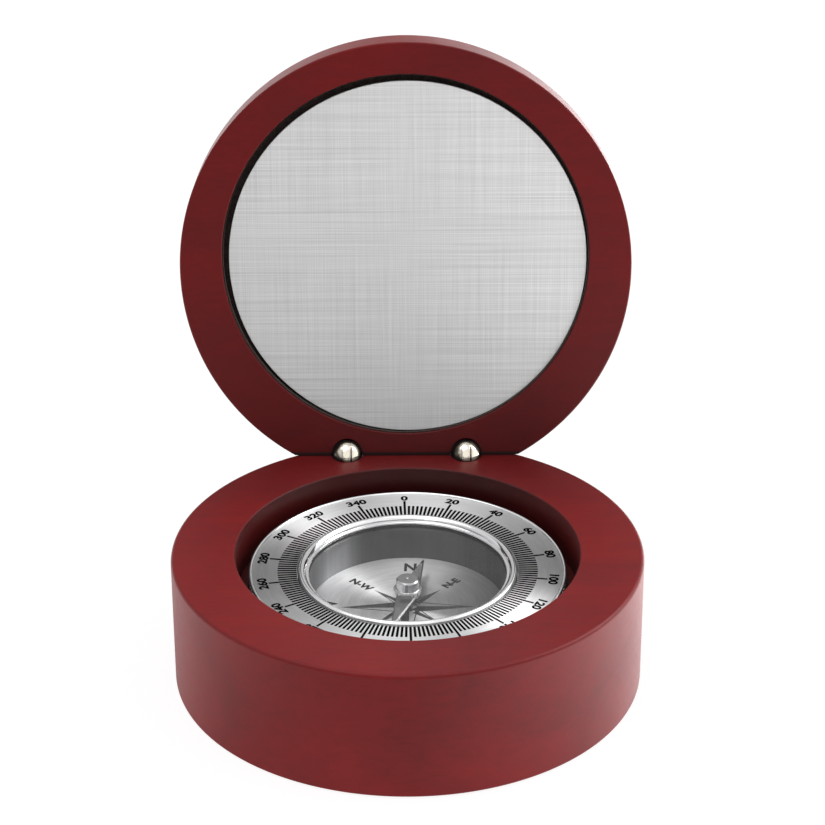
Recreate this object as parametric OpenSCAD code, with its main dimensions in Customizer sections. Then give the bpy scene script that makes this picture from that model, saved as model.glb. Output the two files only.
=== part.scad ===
// Pocket compass in a round keepsake case of cherry-red wood, lid open.
// Millimetres. Origin: centre of the turned underside. +Y to the hinges, +X to the right, +Z up.

/* [Case] */
// Radius of the turned case, base and lid alike
case_r = 41; // [40.5:0.5:44]
// Height of the base
base_h = 23.5; // [23.5:0.5:27]
// Distance from the centre to the flat cut at the hinges
flat_y = 35.4; // [35:0.2:36.2]
// Radius of the eased outer edges
edge_r = 0.7; // [0.3:0.1:1.2]
// Radius of the eased edge round the underside
foot_r = 0.5; // [0.2:0.1:1]
// Gap between base and lid when shut
seam = 0.15; // [0.1:0.05:0.3]

/* [Lid] */
// Thickness of the lid
lid_t = 9.5; // [9:0.5:14]
// Angle at which the hinges stop the open lid
open_stop = 101; // [92:1:104]
// Radius of the recess in the lid's face
recess_r = 33.3; // [33:0.1:33.6]
// Depth of that recess
recess_depth = 2.6; // [2.4:0.1:3]
// Distance that the recess lies off centre, away from the hinges
recess_shift = 2; // [1.6:0.1:2.4]
// Radius of the engraving plate
plate_r = 32.45; // [31:0.05:32.6]
// Thickness of the engraving plate
plate_t = 0.6; // [0.4:0.1:0.8]
// Thickness of the mounting pad behind the plate
pad_t = 0.5; // [0.4:0.1:0.6]
// Thickness of the felt lining
felt_t = 0.7; // [0.5:0.1:0.8]

/* [Hinges] */
// Distance of each ball hinge from the middle
hinge_x = 11; // [9:0.5:13]
// Radius of the hinge ball
ball_r = 2.9; // [2.7:0.1:3]
// Radius of the round pocket that the ball lies in
pocket_r = 3.15; // [3.1:0.05:3.5]
// Width of the middle knuckle
knuckle_w = 1.5; // [1.3:0.1:1.7]
// Slope of the ribbed spigots below the case's joint face
spigot_slope = 52; // [50:1:56]
// Radius of the drilled spigot holes
spigot_r = 1.5; // [1.4:0.1:1.6]
// Depth of the spigots, from the middle of the ball
spigot_end = 8; // [7:0.5:8]
// Radius of the hinge pins
pin_r = 0.6; // [0.5:0.1:0.8]

/* [Compass] */
// Radius of the bore that holds the compass
bore_r = 29.9; // [29:0.1:30]
// Depth of that bore
bore_depth = 8.3; // [8.2:0.1:8.4]
// Radius of the deeper pocket for the capsule's barrel
barrel_pocket_r = 21.5; // [21.4:0.1:22]
// Radius over the bezel's milled edge
bezel_r = 27.85; // [27.75:0.05:27.95]
// Radius at which the degree ring meets the bezel's lip
ring_r = 27; // [26.9:0.05:27.05]
// Radius of the glass ring's opening
well_r = 17.2; // [16.8:0.1:17.4]
// Height of the dial's face above the underside
dial_z = 11.3; // [11.2:0.1:11.5]
// Number of flutes in the milled edge
flutes = 160; // [60:4:200]

/* [Needle] */
// Length of each half of the needle
needle_len = 11.8; // [10:0.1:14]
// Width across the middle of the needle
needle_w = 3.9; // [3:0.1:5]
// Bearing that the needle rests at, clockwise from the back
needle_bearing = 14; // [0:1:359]
// Radius of the cap over the needle's bearing
cap_r = 2.03; // [1.8:0.01:2.2]

/* [Hidden] */
$fn = 180;

// Case
axis_z = base_h;                     // height of the hinge axis
axis_y = flat_y - 0.1;               // the axis lies just inside the flat, so no slit shows when open
lid_z = base_h + seam;               // underside of the shut lid
bore_break = 0.3;                    // broken edge of the bore
plate_off = [0.36, 0.45];            // the plate lies a little off the recess's centre
felt_gap = 0.1;                      // clearance round the felt
pad_margin = 0.5;                    // how far the pad stops short of the plate's rim

// Ball hinges
slot_gap = 0.08;                     // clearance beside the middle knuckle
collar_s = 2.95;                     // where the spigots start, from the ball's centre
rib_bite = 0.08;                     // how far the ribs press into the wood
rib_groove = 0.22;                   // depth of the grooves between the ribs
rib_pitch = 1;                       // distance from rib to rib
hole_over = 0.3;                     // free depth past the spigot's end
pin_half = 2.5;                      // half the length of a hinge pin
pin_bite = 0.01;                     // press of the pin in the fork
pin_gap = 0.05;                      // running clearance of the pin in the tongue
stop_r = 3.05;                       // reach of the lug that stops the lid
stop_gap = 0.4;                      // play at the stop, in degrees
lug_w = 0.85;
// Direction in which the lug meets the fork's collar, from +Y towards +Z
stop_face = 180 + spigot_slope + acos(collar_s / stop_r) + stop_gap;

// Compass heights, from the case's underside
seat_z = base_h - bore_depth;        // floor of the bore, where the capsule's flange sits
barrel_floor_z = 9.2;                // floor of the barrel's pocket
capsule_z = 9.8;                     // underside of the capsule
dial_t = 0.5;
dial_seat_z = dial_z - dial_t;
flange_z = seat_z + 1.4;             // top of the flange that the bezel turns on
skirt_z = 17.2;                      // foot of the glass ring's skirt
gasket_z = 17.6;
lens_z = 17.9;
lens_top_z = 18.9;
boss_z = 18.4;                       // top of the capsule's boss round the lens
ring_face_z = 19.6;                  // printed face of the degree ring
ring_t = 0.9;
bezel_top_z = 19.95;
glass_ring_top_z = 20.1;
drum_top_z = 19.3;                   // top of the milled edge
bezel_foot_z = seat_z + 0.2;
groove_z = seat_z + 0.5;             // floor of the flange's groove for the snap wire
groove_h = 0.5;

// Compass radii
barrel_r = 21;
flange_r = 27.2;
bezel_skirt_r = 27.3;
boss_r = 18.65;
seat_r = 18.3;                       // bore of the boss, where sleeve, gasket and lens sit
fit_gap = 0.05;                      // clearance of the pieces in that bore
glass_ring_r = 19.05;
bezel_bore_r = 19.15;
ring_bore_r = 19.3;
flute_depth = 0.22;
crest_r = 0.35;                      // round of the bezel's polished lip
wire_r = 0.2;                        // radius of the snap wire
grip_t = 0.6;                        // how deep the grip ring lies in the barrel
grip_w = 2;
grip_z = 12;

// Needle and pivot
needle_z = 13.9;                     // underside of the needle
needle_t = 0.4;
needle_tip = 0.17;                   // half the width of the needle's blunt tips
cap_z = needle_z + needle_t;         // where the cap's flange sits on the needle
cap_top_z = 17.1;
cap_flange_r = 2.6;
neck_r = 1.2;                        // neck of the cap, through the needle
neck_z = 13.7;
cap_bore_r = 0.8;
jewel_z = 16;                       // underside of the jewel
bore_top_z = 16.7;                   // end of the cap's bore
post_r = 1;
post_top_z = 13.2;
pin_foot_z = 12.2;                   // foot of the pivot pin, inside the post
tip_z = 16.5;                        // point of the pivot
pivot_r = 0.28;

// A ring of rectangular section
module band(r_in, r_out, z_low, z_high) {
    rotate_extrude() translate([r_in, z_low]) square([r_out - r_in, z_high - z_low]);
}

// A turned disc with its outer edges eased by low_r and high_r
module turned_disc(h, low_r, high_r) {
    rotate_extrude() {
        square([case_r - max(low_r, high_r), h]);
        translate([0, low_r]) square([case_r, h - low_r - high_r]);
        translate([case_r - low_r, low_r]) intersection() {
            circle(low_r, $fn = 48);
            translate([0, -low_r]) square(low_r);
        }
        translate([case_r - high_r, h - high_r]) intersection() {
            circle(high_r, $fn = 48);
            square(high_r);
        }
        if (low_r < high_r) square([case_r - low_r, h / 2]);
        if (high_r < low_r) translate([0, h / 2]) square([case_r - high_r, h / 2]);
    }
}

// The half space in front of the hinge flat
module before_flat(z_low, z_high) {
    size = 3 * case_r;
    translate([-size / 2, flat_y - size, z_low]) cube([size, size, z_high - z_low]);
}

// Round pocket and spigot hole of one ball hinge; tilt turns the hole into the wood
module hinge_cut(side, tilt) {
    translate([side * hinge_x, axis_y, axis_z]) {
        sphere(pocket_r, $fn = 96);
        rotate([tilt, 0, 0]) cylinder(h = spigot_end + hole_over, r = spigot_r, $fn = 48);
    }
}

// Ribbed spigot along +Z, from its collar to its chamfered end
module spigot() {
    rib_r = spigot_r + rib_bite;
    core_r = spigot_r - rib_groove;
    tip = 0.5;
    rotate_extrude($fn = 48) {
        translate([0, collar_s]) square([spigot_r, rib_pitch]);
        translate([0, collar_s]) square([core_r, spigot_end - tip - collar_s]);
        for (s = [collar_s + rib_pitch * 1.5 : rib_pitch : spigot_end - tip - rib_pitch / 2])
            polygon([[0, s], [rib_r, s], [core_r, s + rib_pitch * 0.7], [0, s + rib_pitch * 0.7]]);
        polygon([[0, spigot_end - tip], [core_r, spigot_end - tip], [core_r - tip, spigot_end],
            [0, spigot_end]]);
    }
}

// Cross hole of a knuckle
module pin_hole(r) {
    rotate([0, 90, 0]) cylinder(h = 4 * ball_r, r = r, center = true, $fn = 48);
}

// The half of a ball hinge with two cheeks, fixed in the base
module hinge_fork(side) {
    slot = knuckle_w / 2 + slot_gap;
    reach = 4 * ball_r;
    color("silver") translate([side * hinge_x, axis_y, axis_z]) difference() {
        union() {
            sphere(ball_r, $fn = 96);
            rotate([90 + spigot_slope, 0, 0]) {
                spigot();
                cylinder(h = collar_s + 0.2, r = spigot_r - 0.06, $fn = 48);
            }
        }
        rotate([90 + spigot_slope, 0, 0]) translate([-slot, -reach / 2, collar_s - reach])
            cube([2 * slot, reach, reach]);
        pin_hole(pin_r - pin_bite);
    }
}

// Lug on the middle knuckle that meets the fork's collar when the lid is open
module stop_lug() {
    rotate([stop_face + open_stop, 0, 0]) intersection() {
        rotate([0, 90, 0]) cylinder(h = knuckle_w, r = stop_r, center = true, $fn = 96);
        translate([-knuckle_w, 0, 0]) cube([2 * knuckle_w, 2 * stop_r, lug_w]);
    }
}

// The half with the middle knuckle, fixed in the lid; drawn with the lid shut
module hinge_tongue(side) {
    color("silver") translate([side * hinge_x, axis_y, axis_z]) difference() {
        union() {
            intersection() {
                sphere(ball_r, $fn = 96);
                cube([knuckle_w, 4 * ball_r, 4 * ball_r], center = true);
            }
            stop_lug();
            rotate([90 - spigot_slope, 0, 0]) {
                spigot();
                translate([-knuckle_w / 2, -spigot_r * 0.8, 0])
                    cube([knuckle_w, spigot_r * 1.6, collar_s + 0.2]);
            }
        }
        pin_hole(pin_r + pin_gap);
    }
}

module hinge_pin(side) {
    color("gainsboro") translate([side * hinge_x, axis_y, axis_z]) rotate([0, 90, 0])
        cylinder(h = 2 * pin_half, r = pin_r, center = true, $fn = 48);
}

// Swings a shut piece of the lid open about the hinge axis
module swung_open() {
    translate([0, axis_y, axis_z]) rotate([-open_stop, 0, 0]) translate([0, -axis_y, -axis_z]) children();
}

module base_case() {
    color("firebrick") difference() {
        intersection() {
            turned_disc(base_h, foot_r, edge_r);
            before_flat(-1, base_h + 1);
        }
        translate([0, 0, seat_z]) cylinder(h = base_h, r = bore_r);
        translate([0, 0, base_h - bore_break])
            cylinder(h = 2 * bore_break, r1 = bore_r, r2 = bore_r + 2 * bore_break);
        translate([0, 0, barrel_floor_z]) cylinder(h = base_h, r = barrel_pocket_r);
        for (side = [-1, 1]) hinge_cut(side, 90 + spigot_slope);
    }
}

module lid_case() {
    color("firebrick") swung_open() difference() {
        intersection() {
            translate([0, 0, lid_z]) turned_disc(lid_t, 0.3, edge_r);
            before_flat(lid_z - 1, lid_z + lid_t + 1);
        }
        translate([0, -recess_shift, lid_z - 1]) cylinder(h = recess_depth + 1, r = recess_r);
        for (side = [-1, 1]) hinge_cut(side, 90 - spigot_slope);
    }
}

// Felt lining on the floor of the lid's recess
module lid_felt() {
    color("#2a2622") swung_open() translate([0, -recess_shift, lid_z + recess_depth - felt_t])
        cylinder(h = felt_t, r = recess_r - felt_gap);
}

module plate_pad() {
    color("black") swung_open()
        translate([plate_off[0], plate_off[1] - recess_shift, lid_z + recess_depth - felt_t - pad_t])
            cylinder(h = pad_t, r = plate_r - pad_margin);
}

module engraving_plate() {
    color("lightgray") swung_open()
        translate([plate_off[0], plate_off[1] - recess_shift,
            lid_z + recess_depth - felt_t - pad_t - plate_t])
            cylinder(h = plate_t, r = plate_r);
}

// Die-cast body of the compass: floor, barrel, flange for the bezel, boss round the lens
module capsule_body() {
    color("slategray") difference() {
        rotate_extrude() polygon([
            [0, capsule_z], [barrel_r - 0.4, capsule_z], [barrel_r, capsule_z + 0.4],
            [barrel_r, seat_z], [flange_r, seat_z], [flange_r, flange_z], [glass_ring_r, flange_z],
            [glass_ring_r, skirt_z], [boss_r, skirt_z], [boss_r, boss_z], [seat_r, boss_z],
            [seat_r, dial_seat_z], [0, dial_seat_z]
        ]);
        translate([0, 0, capsule_z - 1]) cylinder(h = base_h, r = post_r, $fn = 48);
        band(barrel_r - grip_t, barrel_r + 1, grip_z, grip_z + grip_w);
        band(flange_r - 0.25, flange_r + 1, groove_z, groove_z + groove_h);
    }
}

// Rubber ring that grips the barrel in the wood
module grip_ring() {
    color("dimgray") band(barrel_r - grip_t, barrel_pocket_r, grip_z, grip_z + grip_w);
}

module dial() {
    color("silver") band(post_r, seat_r - fit_gap, dial_seat_z, dial_z);
}

// Polished wall of the well, which holds the dial down and carries the lens
module well_sleeve() {
    color("gray") band(well_r, seat_r - fit_gap, dial_z, gasket_z);
}

module lens_gasket() {
    color("black") band(well_r + 0.1, seat_r - fit_gap, gasket_z, lens_z);
}

module lens() {
    chamfer = 0.15;
    color("azure", 0.4) rotate_extrude() polygon([
        [0, lens_z], [seat_r - 2 * fit_gap, lens_z], [seat_r - 2 * fit_gap, lens_top_z - chamfer],
        [seat_r - 2 * fit_gap - chamfer, lens_top_z], [0, lens_top_z]
    ]);
}

// Chrome ring over the lens: a round crest, a sloped inner face and a skirt over the boss
module glass_ring() {
    crest = 0.6;
    crest_at = [glass_ring_r - crest, glass_ring_top_z - crest];
    color("whitesmoke") rotate_extrude() {
        translate([boss_r + fit_gap, skirt_z])
            square([glass_ring_r - boss_r - fit_gap, crest_at[1] - skirt_z]);
        polygon([
            [well_r, lens_top_z], [glass_ring_r, lens_top_z], [glass_ring_r, crest_at[1]],
            crest_at, [crest_at[0] - 0.45, crest_at[1] + 0.4], [well_r, lens_top_z + 0.2]
        ]);
        translate(crest_at) circle(crest, $fn = 48);
    }
}

// Outline of the milled edge: shallow flutes all round
function milled_edge() = [
    for (i = [0 : 2 * flutes - 1])
        let (a = i * 180 / flutes, r = bezel_r - (i % 2) * flute_depth) [r * cos(a), r * sin(a)]
];

// Bezel that turns on the capsule's flange and carries the degree ring
module turning_bezel() {
    crest_at = [ring_r + crest_r, bezel_top_z - crest_r];
    neck = 0.3;
    color("whitesmoke") difference() {
        union() {
            rotate_extrude() {
                translate([bezel_bore_r, flange_z + 0.1])
                    square([bezel_skirt_r - bezel_bore_r, ring_face_z - ring_t - flange_z - 0.1]);
                translate([ring_r, flange_z + 0.1])
                    square([bezel_r - neck - ring_r, crest_at[1] - flange_z - 0.1]);
                translate(crest_at) intersection() {
                    circle(crest_r, $fn = 48);
                    square([2 * bezel_r, 2 * crest_r], center = true);
                }
            }
            translate([0, 0, bezel_foot_z]) linear_extrude(drum_top_z - bezel_foot_z) difference() {
                polygon(milled_edge());
                circle(bezel_skirt_r);
            }
        }
        band(bezel_skirt_r - 1, bezel_skirt_r + 0.15, groove_z - 0.1, groove_z + groove_h);
    }
}

// Plain brushed ring for the degree scale, set in the bezel
module degree_ring() {
    color("silver") band(ring_bore_r, ring_r, ring_face_z - ring_t, ring_face_z);
}

// Spring wire between the flange's groove and the bezel's groove
module bezel_snap_wire() {
    color("lightsteelblue") rotate_extrude() translate([flange_r - 0.02, groove_z + wire_r])
        circle(wire_r, $fn = 24);
}

module pivot_post() {
    color("silver") difference() {
        rotate_extrude($fn = 48) polygon([
            [0, capsule_z], [post_r, capsule_z], [post_r, dial_z], [1.6, dial_z],
            [1.6, dial_z + 0.4], [0.7, dial_z + 0.6], [0.7, post_top_z], [0, post_top_z]
        ]);
        translate([0, 0, pin_foot_z]) cylinder(h = base_h, r = pivot_r, $fn = 48);
    }
}

// Steel pin with a ground point, pressed in the post
module pivot_pin() {
    point = 0.9;
    color("lightsteelblue") rotate_extrude($fn = 48) polygon([
        [0, pin_foot_z], [pivot_r, pin_foot_z], [pivot_r, tip_z - point], [0.03, tip_z], [0, tip_z]
    ]);
}

module compass_needle() {
    color("lightgray") rotate([0, 0, -needle_bearing]) translate([0, 0, needle_z]) difference() {
        linear_extrude(needle_t) polygon([
            [needle_tip, needle_len], [-needle_tip, needle_len], [-needle_w / 2, 0],
            [-needle_tip, -needle_len], [needle_tip, -needle_len], [needle_w / 2, 0]
        ]);
        cylinder(h = 3 * needle_t, r = neck_r, center = true, $fn = 48);
    }
}

// Turned cap on the needle, bored for the jewel
module needle_cap() {
    bevel = 0.3;
    color("whitesmoke") rotate_extrude($fn = 96) polygon([
        [cap_bore_r, neck_z], [neck_r, neck_z], [neck_r, cap_z], [cap_flange_r, cap_z],
        [cap_flange_r, cap_z + 0.3], [cap_r, cap_z + 0.55], [cap_r, cap_top_z - bevel],
        [cap_r - bevel, cap_top_z], [0.25, cap_top_z], [0, cap_top_z - 0.12], [0, bore_top_z],
        [cap_bore_r, bore_top_z]
    ]);
}

// Sapphire cup that rides on the pivot's point
module cap_jewel() {
    color("crimson") rotate_extrude($fn = 48) polygon([
        [0, tip_z + 0.1], [0.4, jewel_z], [cap_bore_r, jewel_z], [cap_bore_r, bore_top_z], [0, bore_top_z]
    ]);
}

base_case();
lid_case();
lid_felt();
plate_pad();
engraving_plate();
hinge_fork(-1);  // hinge_fork_left
hinge_fork(1);  // hinge_fork_right
swung_open() hinge_tongue(-1);  // hinge_tongue_left
swung_open() hinge_tongue(1);  // hinge_tongue_right
hinge_pin(-1);  // hinge_pin_left
hinge_pin(1);  // hinge_pin_right
capsule_body();
grip_ring();
dial();
well_sleeve();
lens_gasket();
lens();
glass_ring();
turning_bezel();
degree_ring();
bezel_snap_wire();
pivot_post();
pivot_pin();
compass_needle();
needle_cap();
cap_jewel();
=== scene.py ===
"""Dresses the solids of a pocket compass in a round wooden keepsake case.

Sizes are in millimetres in the classes and in metres in Blender. The frame is that of the solids:
the origin is the centre of the underside, +X right, +Y towards the hinges and +Z up.
"""

import logging
import math
from collections.abc import Callable, Sequence
from dataclasses import dataclass
from enum import Enum
from itertools import pairwise

import bmesh
import bpy
from mathutils import Matrix, Vector


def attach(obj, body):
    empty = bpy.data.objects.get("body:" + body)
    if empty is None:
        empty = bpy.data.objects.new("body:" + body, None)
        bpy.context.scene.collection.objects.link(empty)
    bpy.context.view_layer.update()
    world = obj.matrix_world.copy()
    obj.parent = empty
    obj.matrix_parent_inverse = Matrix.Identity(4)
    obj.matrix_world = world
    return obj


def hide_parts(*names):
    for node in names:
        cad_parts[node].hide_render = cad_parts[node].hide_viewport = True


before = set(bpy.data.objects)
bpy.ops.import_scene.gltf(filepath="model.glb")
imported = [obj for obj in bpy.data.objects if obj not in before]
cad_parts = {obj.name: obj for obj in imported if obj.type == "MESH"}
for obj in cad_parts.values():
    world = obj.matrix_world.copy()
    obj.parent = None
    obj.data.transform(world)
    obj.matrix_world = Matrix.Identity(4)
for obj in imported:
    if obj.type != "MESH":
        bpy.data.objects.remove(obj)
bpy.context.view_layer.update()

log = logging.getLogger("pocket_compass")

MM = 0.001
MERGE = 2e-7  # corners closer than this are one corner, in metres
CLOSE = 1e-6  # a corner within this of a height or a radius lies on it, in metres
SAW = 1e-7  # a corner this close to a saw cut lies on it, in metres
FOIL = 0.02  # thickness of printed marks, in millimetres

Piece = bpy.types.Object
Socket = bpy.types.NodeSocket
VertTest = Callable[[bmesh.types.BMVert], bool]
Point = tuple[float, float]
Corner = tuple[float, float, float]  # radius, height and ease
Spot = tuple[float, float, float]  # a place or a direction
Colour = tuple[float, float, float, float]
Span = tuple[float, float, float, float]  # a range, and the range that it is mapped to

WHITE: Colour = (1, 1, 1, 1)


class Pick(Enum):
    """What a selection in edit mode is made of."""

    VERTS = "VERT"
    EDGES = "EDGE"
    FACES = "FACE"


class Body(Enum):
    """The bodies that pieces ride on."""

    BASE = "base"
    LID = "lid"
    BEZEL = "bezel"
    NEEDLE = "needle"


@dataclass(frozen=True)
class Typeface:
    """How letters are printed: capital height, thickening of the strokes and relative width."""

    height: float
    bold: float
    width: float


# Bench work: picking pieces up, turning, cutting and joining them


def put_down() -> None:
    """Goes back to object mode with nothing selected."""
    if bpy.context.mode != "OBJECT":
        bpy.ops.object.mode_set(mode="OBJECT")
    bpy.ops.object.select_all(action="DESELECT")


def pick_up(*pieces: Piece) -> None:
    """Selects only these pieces and makes the first one active."""
    put_down()
    for piece in pieces:
        piece.select_set(True)
    bpy.context.view_layer.objects.active = pieces[0]


def open_up(piece: Piece) -> None:
    """Opens a piece in edit mode with all of it selected."""
    pick_up(piece)
    bpy.ops.object.mode_set(mode="EDIT")
    bpy.ops.mesh.select_all(action="SELECT")


def start(name: str) -> Piece:
    """Names the primitive that was just added, opens it in edit mode, all selected, and returns it."""
    piece = bpy.context.object
    piece.name = piece.data.name = name
    bpy.ops.object.mode_set(mode="EDIT")
    bpy.ops.mesh.select_all(action="SELECT")
    return piece


def choose(piece: Piece, kind: Pick, test: VertTest) -> None:
    """Selects the parts of a piece, in edit mode, whose corners all pass a test.

    Args:
        piece: The piece that is open in edit mode.
        kind: Vertices, edges or faces.
        test: Takes a vertex.
    """
    bpy.ops.mesh.select_mode(type=kind.value)
    bpy.ops.mesh.select_all(action="DESELECT")
    shape = bmesh.from_edit_mesh(piece.data)
    passed = {vert.index for vert in shape.verts if test(vert)}
    if kind is Pick.VERTS:
        chosen = [vert for vert in shape.verts if vert.index in passed]
    else:
        parts = shape.edges if kind is Pick.EDGES else shape.faces
        chosen = [part for part in parts if all(vert.index in passed for vert in part.verts)]
    for part in chosen:
        part.select_set(True)
    bmesh.update_edit_mesh(piece.data)


def lies_at(coordinate: float, target: float) -> bool:
    """True where a coordinate in metres lies at a target in millimetres."""
    return abs(coordinate - target * MM) < CLOSE


def spun(degrees: float, axis: str = "X") -> Matrix:
    """A turn about one of the axes."""
    return Matrix.Rotation(math.radians(degrees), 4, axis)


def bearing(degrees: float) -> Matrix:
    """A turn clockwise from the back, as on a compass."""
    return spun(-degrees, "Z")


def moved(x: float, y: float, z: float) -> Matrix:
    """A move in millimetres."""
    return Matrix.Translation(Vector((x, y, z)) * MM)


def placed(piece: Piece, place: Matrix) -> Piece:
    """Moves a piece and applies the move to its mesh, so that its object stays at the origin."""
    piece.matrix_world = place @ piece.matrix_world
    pick_up(piece)
    bpy.ops.object.transform_apply(location=True, rotation=True, scale=True)
    return piece


def eased(corners: Sequence[Corner], steps: int = 5) -> list[Point]:
    """Rounds the corners of an outline.

    Args:
        corners: Radius, height and ease of each corner; an ease of 0 leaves it sharp.
        steps: Faces along each round.

    Returns:
        The outline's points.
    """
    points: list[Point] = []
    for i, (radius, height, ease) in enumerate(corners):
        if ease <= 0:
            points.append((radius, height))
            continue
        here = Vector((radius, height))
        back = (Vector(corners[i - 1][:2]) - here).normalized()
        onward = (Vector(corners[(i + 1) % len(corners)][:2]) - here).normalized()
        half = math.acos(max(-1.0, min(1.0, back.dot(onward)))) / 2
        first, last = (here + way * (ease / math.tan(half)) for way in (back, onward))
        centre = here + (back + onward).normalized() * (ease / math.sin(half))
        middle, side = (here - centre).normalized(), (last - first).normalized()
        for k in range(steps + 1):
            angle = (math.pi - 2 * half) * (k / steps - 0.5)
            spoke = middle * math.cos(angle) + side * math.sin(angle)
            points.append(tuple(centre + spoke * ease))
    return points


def arc(centre: Point, radius: float, degrees: range) -> list[Point]:
    """Returns points of an arc, at angles in degrees from the outward direction."""
    angles = [math.radians(angle) for angle in degrees]
    return [(centre[0] + radius * math.cos(a), centre[1] + radius * math.sin(a)) for a in angles]


def turned(name: str, outline: Sequence[Point], sides: int = 192, ring: bool = False) -> Piece:
    """Turns a piece: a ring of wire is drawn along its outline and scaled at each point.

    Args:
        name: Name of the piece.
        outline: Points (radius, height) in millimetres, from the axis to the axis, or round a
            closed section.
        sides: Faces round the piece.
        ring: True for a closed section that keeps clear of the axis.

    Returns:
        The piece, in object mode.
    """
    points = list(outline)
    first_pole = None if ring else points.pop(0)
    last_pole = None if ring else points.pop()
    put_down()
    radius, height = points[0]
    bpy.ops.mesh.primitive_circle_add(vertices=sides, radius=radius * MM, fill_type="NOTHING")
    piece = start(name)
    bpy.ops.transform.translate(value=(0, 0, height * MM))
    for (r_from, z_from), (r_to, z_to) in pairwise([*points, points[0]] if ring else points):
        rise = (0, 0, (z_to - z_from) * MM)
        bpy.ops.mesh.extrude_edges_move(TRANSFORM_OT_translate={"value": rise})
        scale = r_to / r_from
        bpy.ops.transform.resize(value=(scale, scale, 1), center_override=(0, 0, 0))
    for pole, (r_end, z_end) in ((last_pole, points[-1]), (first_pole, points[0])):
        if pole is None:
            continue
        choose(piece, Pick.EDGES, lambda vert: vert.is_boundary and abs(vert.co.z - z_end * MM) < MERGE
               and lies_at(vert.co.xy.length, r_end))
        if abs(pole[1] - z_end) < CLOSE:
            bpy.ops.mesh.edge_face_add()
        else:
            rise = (0, 0, (pole[1] - z_end) * MM)
            bpy.ops.mesh.extrude_edges_move(TRANSFORM_OT_translate={"value": rise})
            bpy.ops.mesh.merge(type="CENTER")
    bpy.ops.mesh.select_all(action="SELECT")
    bpy.ops.mesh.remove_doubles(threshold=MERGE)
    bpy.ops.mesh.normals_make_consistent(inside=False)
    put_down()
    return piece


def block(name: str, low: Sequence[float], high: Sequence[float]) -> Piece:
    """Adds a block between two corners in millimetres, as a start for a piece or as a tool."""
    put_down()
    bpy.ops.mesh.primitive_cube_add(size=1)
    piece = start(name)
    size = [(b - a) * MM for a, b in zip(low, high)]
    bpy.ops.transform.resize(value=size, center_override=(0, 0, 0))
    bpy.ops.transform.translate(value=[(a + b) / 2 * MM for a, b in zip(low, high)])
    put_down()
    return piece


def rod(radius: float, length: float, at: Sequence[float] = (0, 0, 0), crosswise: bool = False,
        sides: int = 48) -> Piece:
    """Adds a plain rod in millimetres, as a start for a piece or as a tool.

    Args:
        radius: Its radius.
        length: Its length.
        at: Its middle.
        crosswise: True for a rod along X, False for an upright one.
        sides: Faces round it.

    Returns:
        The rod.
    """
    put_down()
    bpy.ops.mesh.primitive_cylinder_add(
        vertices=sides, radius=radius * MM, depth=length * MM, location=[part * MM for part in at],
        rotation=(0, math.radians(90 if crosswise else 0), 0))
    return bpy.context.object


def flat_shape(name: str, points: Sequence[Point], low: float, thick: float) -> Piece:
    """Cuts a flat shape: a disc's corners are moved to an outline, then it is extruded.

    Args:
        name: Name of the piece.
        points: Corners (x, y) in millimetres.
        low: Height of its underside.
        thick: Its thickness.

    Returns:
        The piece, in object mode.
    """
    put_down()
    bpy.ops.mesh.primitive_circle_add(vertices=len(points), radius=MM, fill_type="NGON")
    piece = start(name)
    for i, (x, y) in enumerate(points):
        choose(piece, Pick.VERTS, lambda vert: vert.index == i)
        shape = bmesh.from_edit_mesh(piece.data)
        shape.verts.ensure_lookup_table()
        step = Vector((x * MM, y * MM, low * MM)) - shape.verts[i].co
        bpy.ops.transform.translate(value=step)
    bpy.ops.mesh.select_mode(type="FACE")
    bpy.ops.mesh.select_all(action="SELECT")
    bpy.ops.mesh.extrude_region_move(TRANSFORM_OT_translate={"value": (0, 0, thick * MM)})
    bpy.ops.mesh.select_all(action="SELECT")
    bpy.ops.mesh.normals_make_consistent(inside=False)
    put_down()
    return piece


def lettering(text: str, face: Typeface, surface: float, place: Matrix) -> Piece:
    """Prints figures or letters in foil, centred, reading along +X before they are placed.

    Args:
        text: The figures or letters.
        face: How they are printed.
        surface: Height of the surface that they are printed on, halfway up the foil.
        place: Where the middle of the text goes.

    Returns:
        The piece, in object mode.
    """
    put_down()
    bpy.ops.object.text_add()
    piece = bpy.context.object
    letters = piece.data
    letters.body = text
    letters.align_x, letters.align_y = "CENTER", "CENTER"
    letters.size = 1.0
    letters.resolution_u = 3
    cap_share = 0.73  # height of a capital over the font's size
    scale = face.height * MM / cap_share
    letters.offset = face.bold * MM / scale
    letters.extrude = FOIL * MM / scale / 2
    bpy.ops.object.convert(target="MESH")
    piece = bpy.context.object
    xs = [vert.co.x for vert in piece.data.vertices]
    ys = [vert.co.y for vert in piece.data.vertices]
    middle = Vector(((min(xs) + max(xs)) / 2, (min(ys) + max(ys)) / 2, 0))
    size = Matrix.Diagonal((scale * face.width, scale, scale, 1))
    placed(piece, place @ moved(0, 0, surface) @ size @ Matrix.Translation(-middle))
    open_up(piece)
    bpy.ops.mesh.remove_doubles(threshold=MERGE)
    bpy.ops.mesh.normals_make_consistent(inside=False)
    put_down()
    return piece


def bevelled(piece: Piece, width: float, test: VertTest) -> None:
    """Rounds the sharp edges of a piece between vertices that pass a test, with three faces.

    Args:
        piece: The piece.
        width: Width of the bevel in millimetres.
        test: Takes a vertex.
    """
    sharp = math.radians(25)
    open_up(piece)
    choose(piece, Pick.EDGES, test)
    shape = bmesh.from_edit_mesh(piece.data)
    for edge in shape.edges:
        if edge.select and (len(edge.link_faces) != 2 or edge.calc_face_angle(0.0) < sharp):
            edge.select_set(False)
    bmesh.update_edit_mesh(piece.data)
    bpy.ops.mesh.bevel(offset=width * MM, segments=3, affect="EDGES", clamp_overlap=True)
    put_down()


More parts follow.
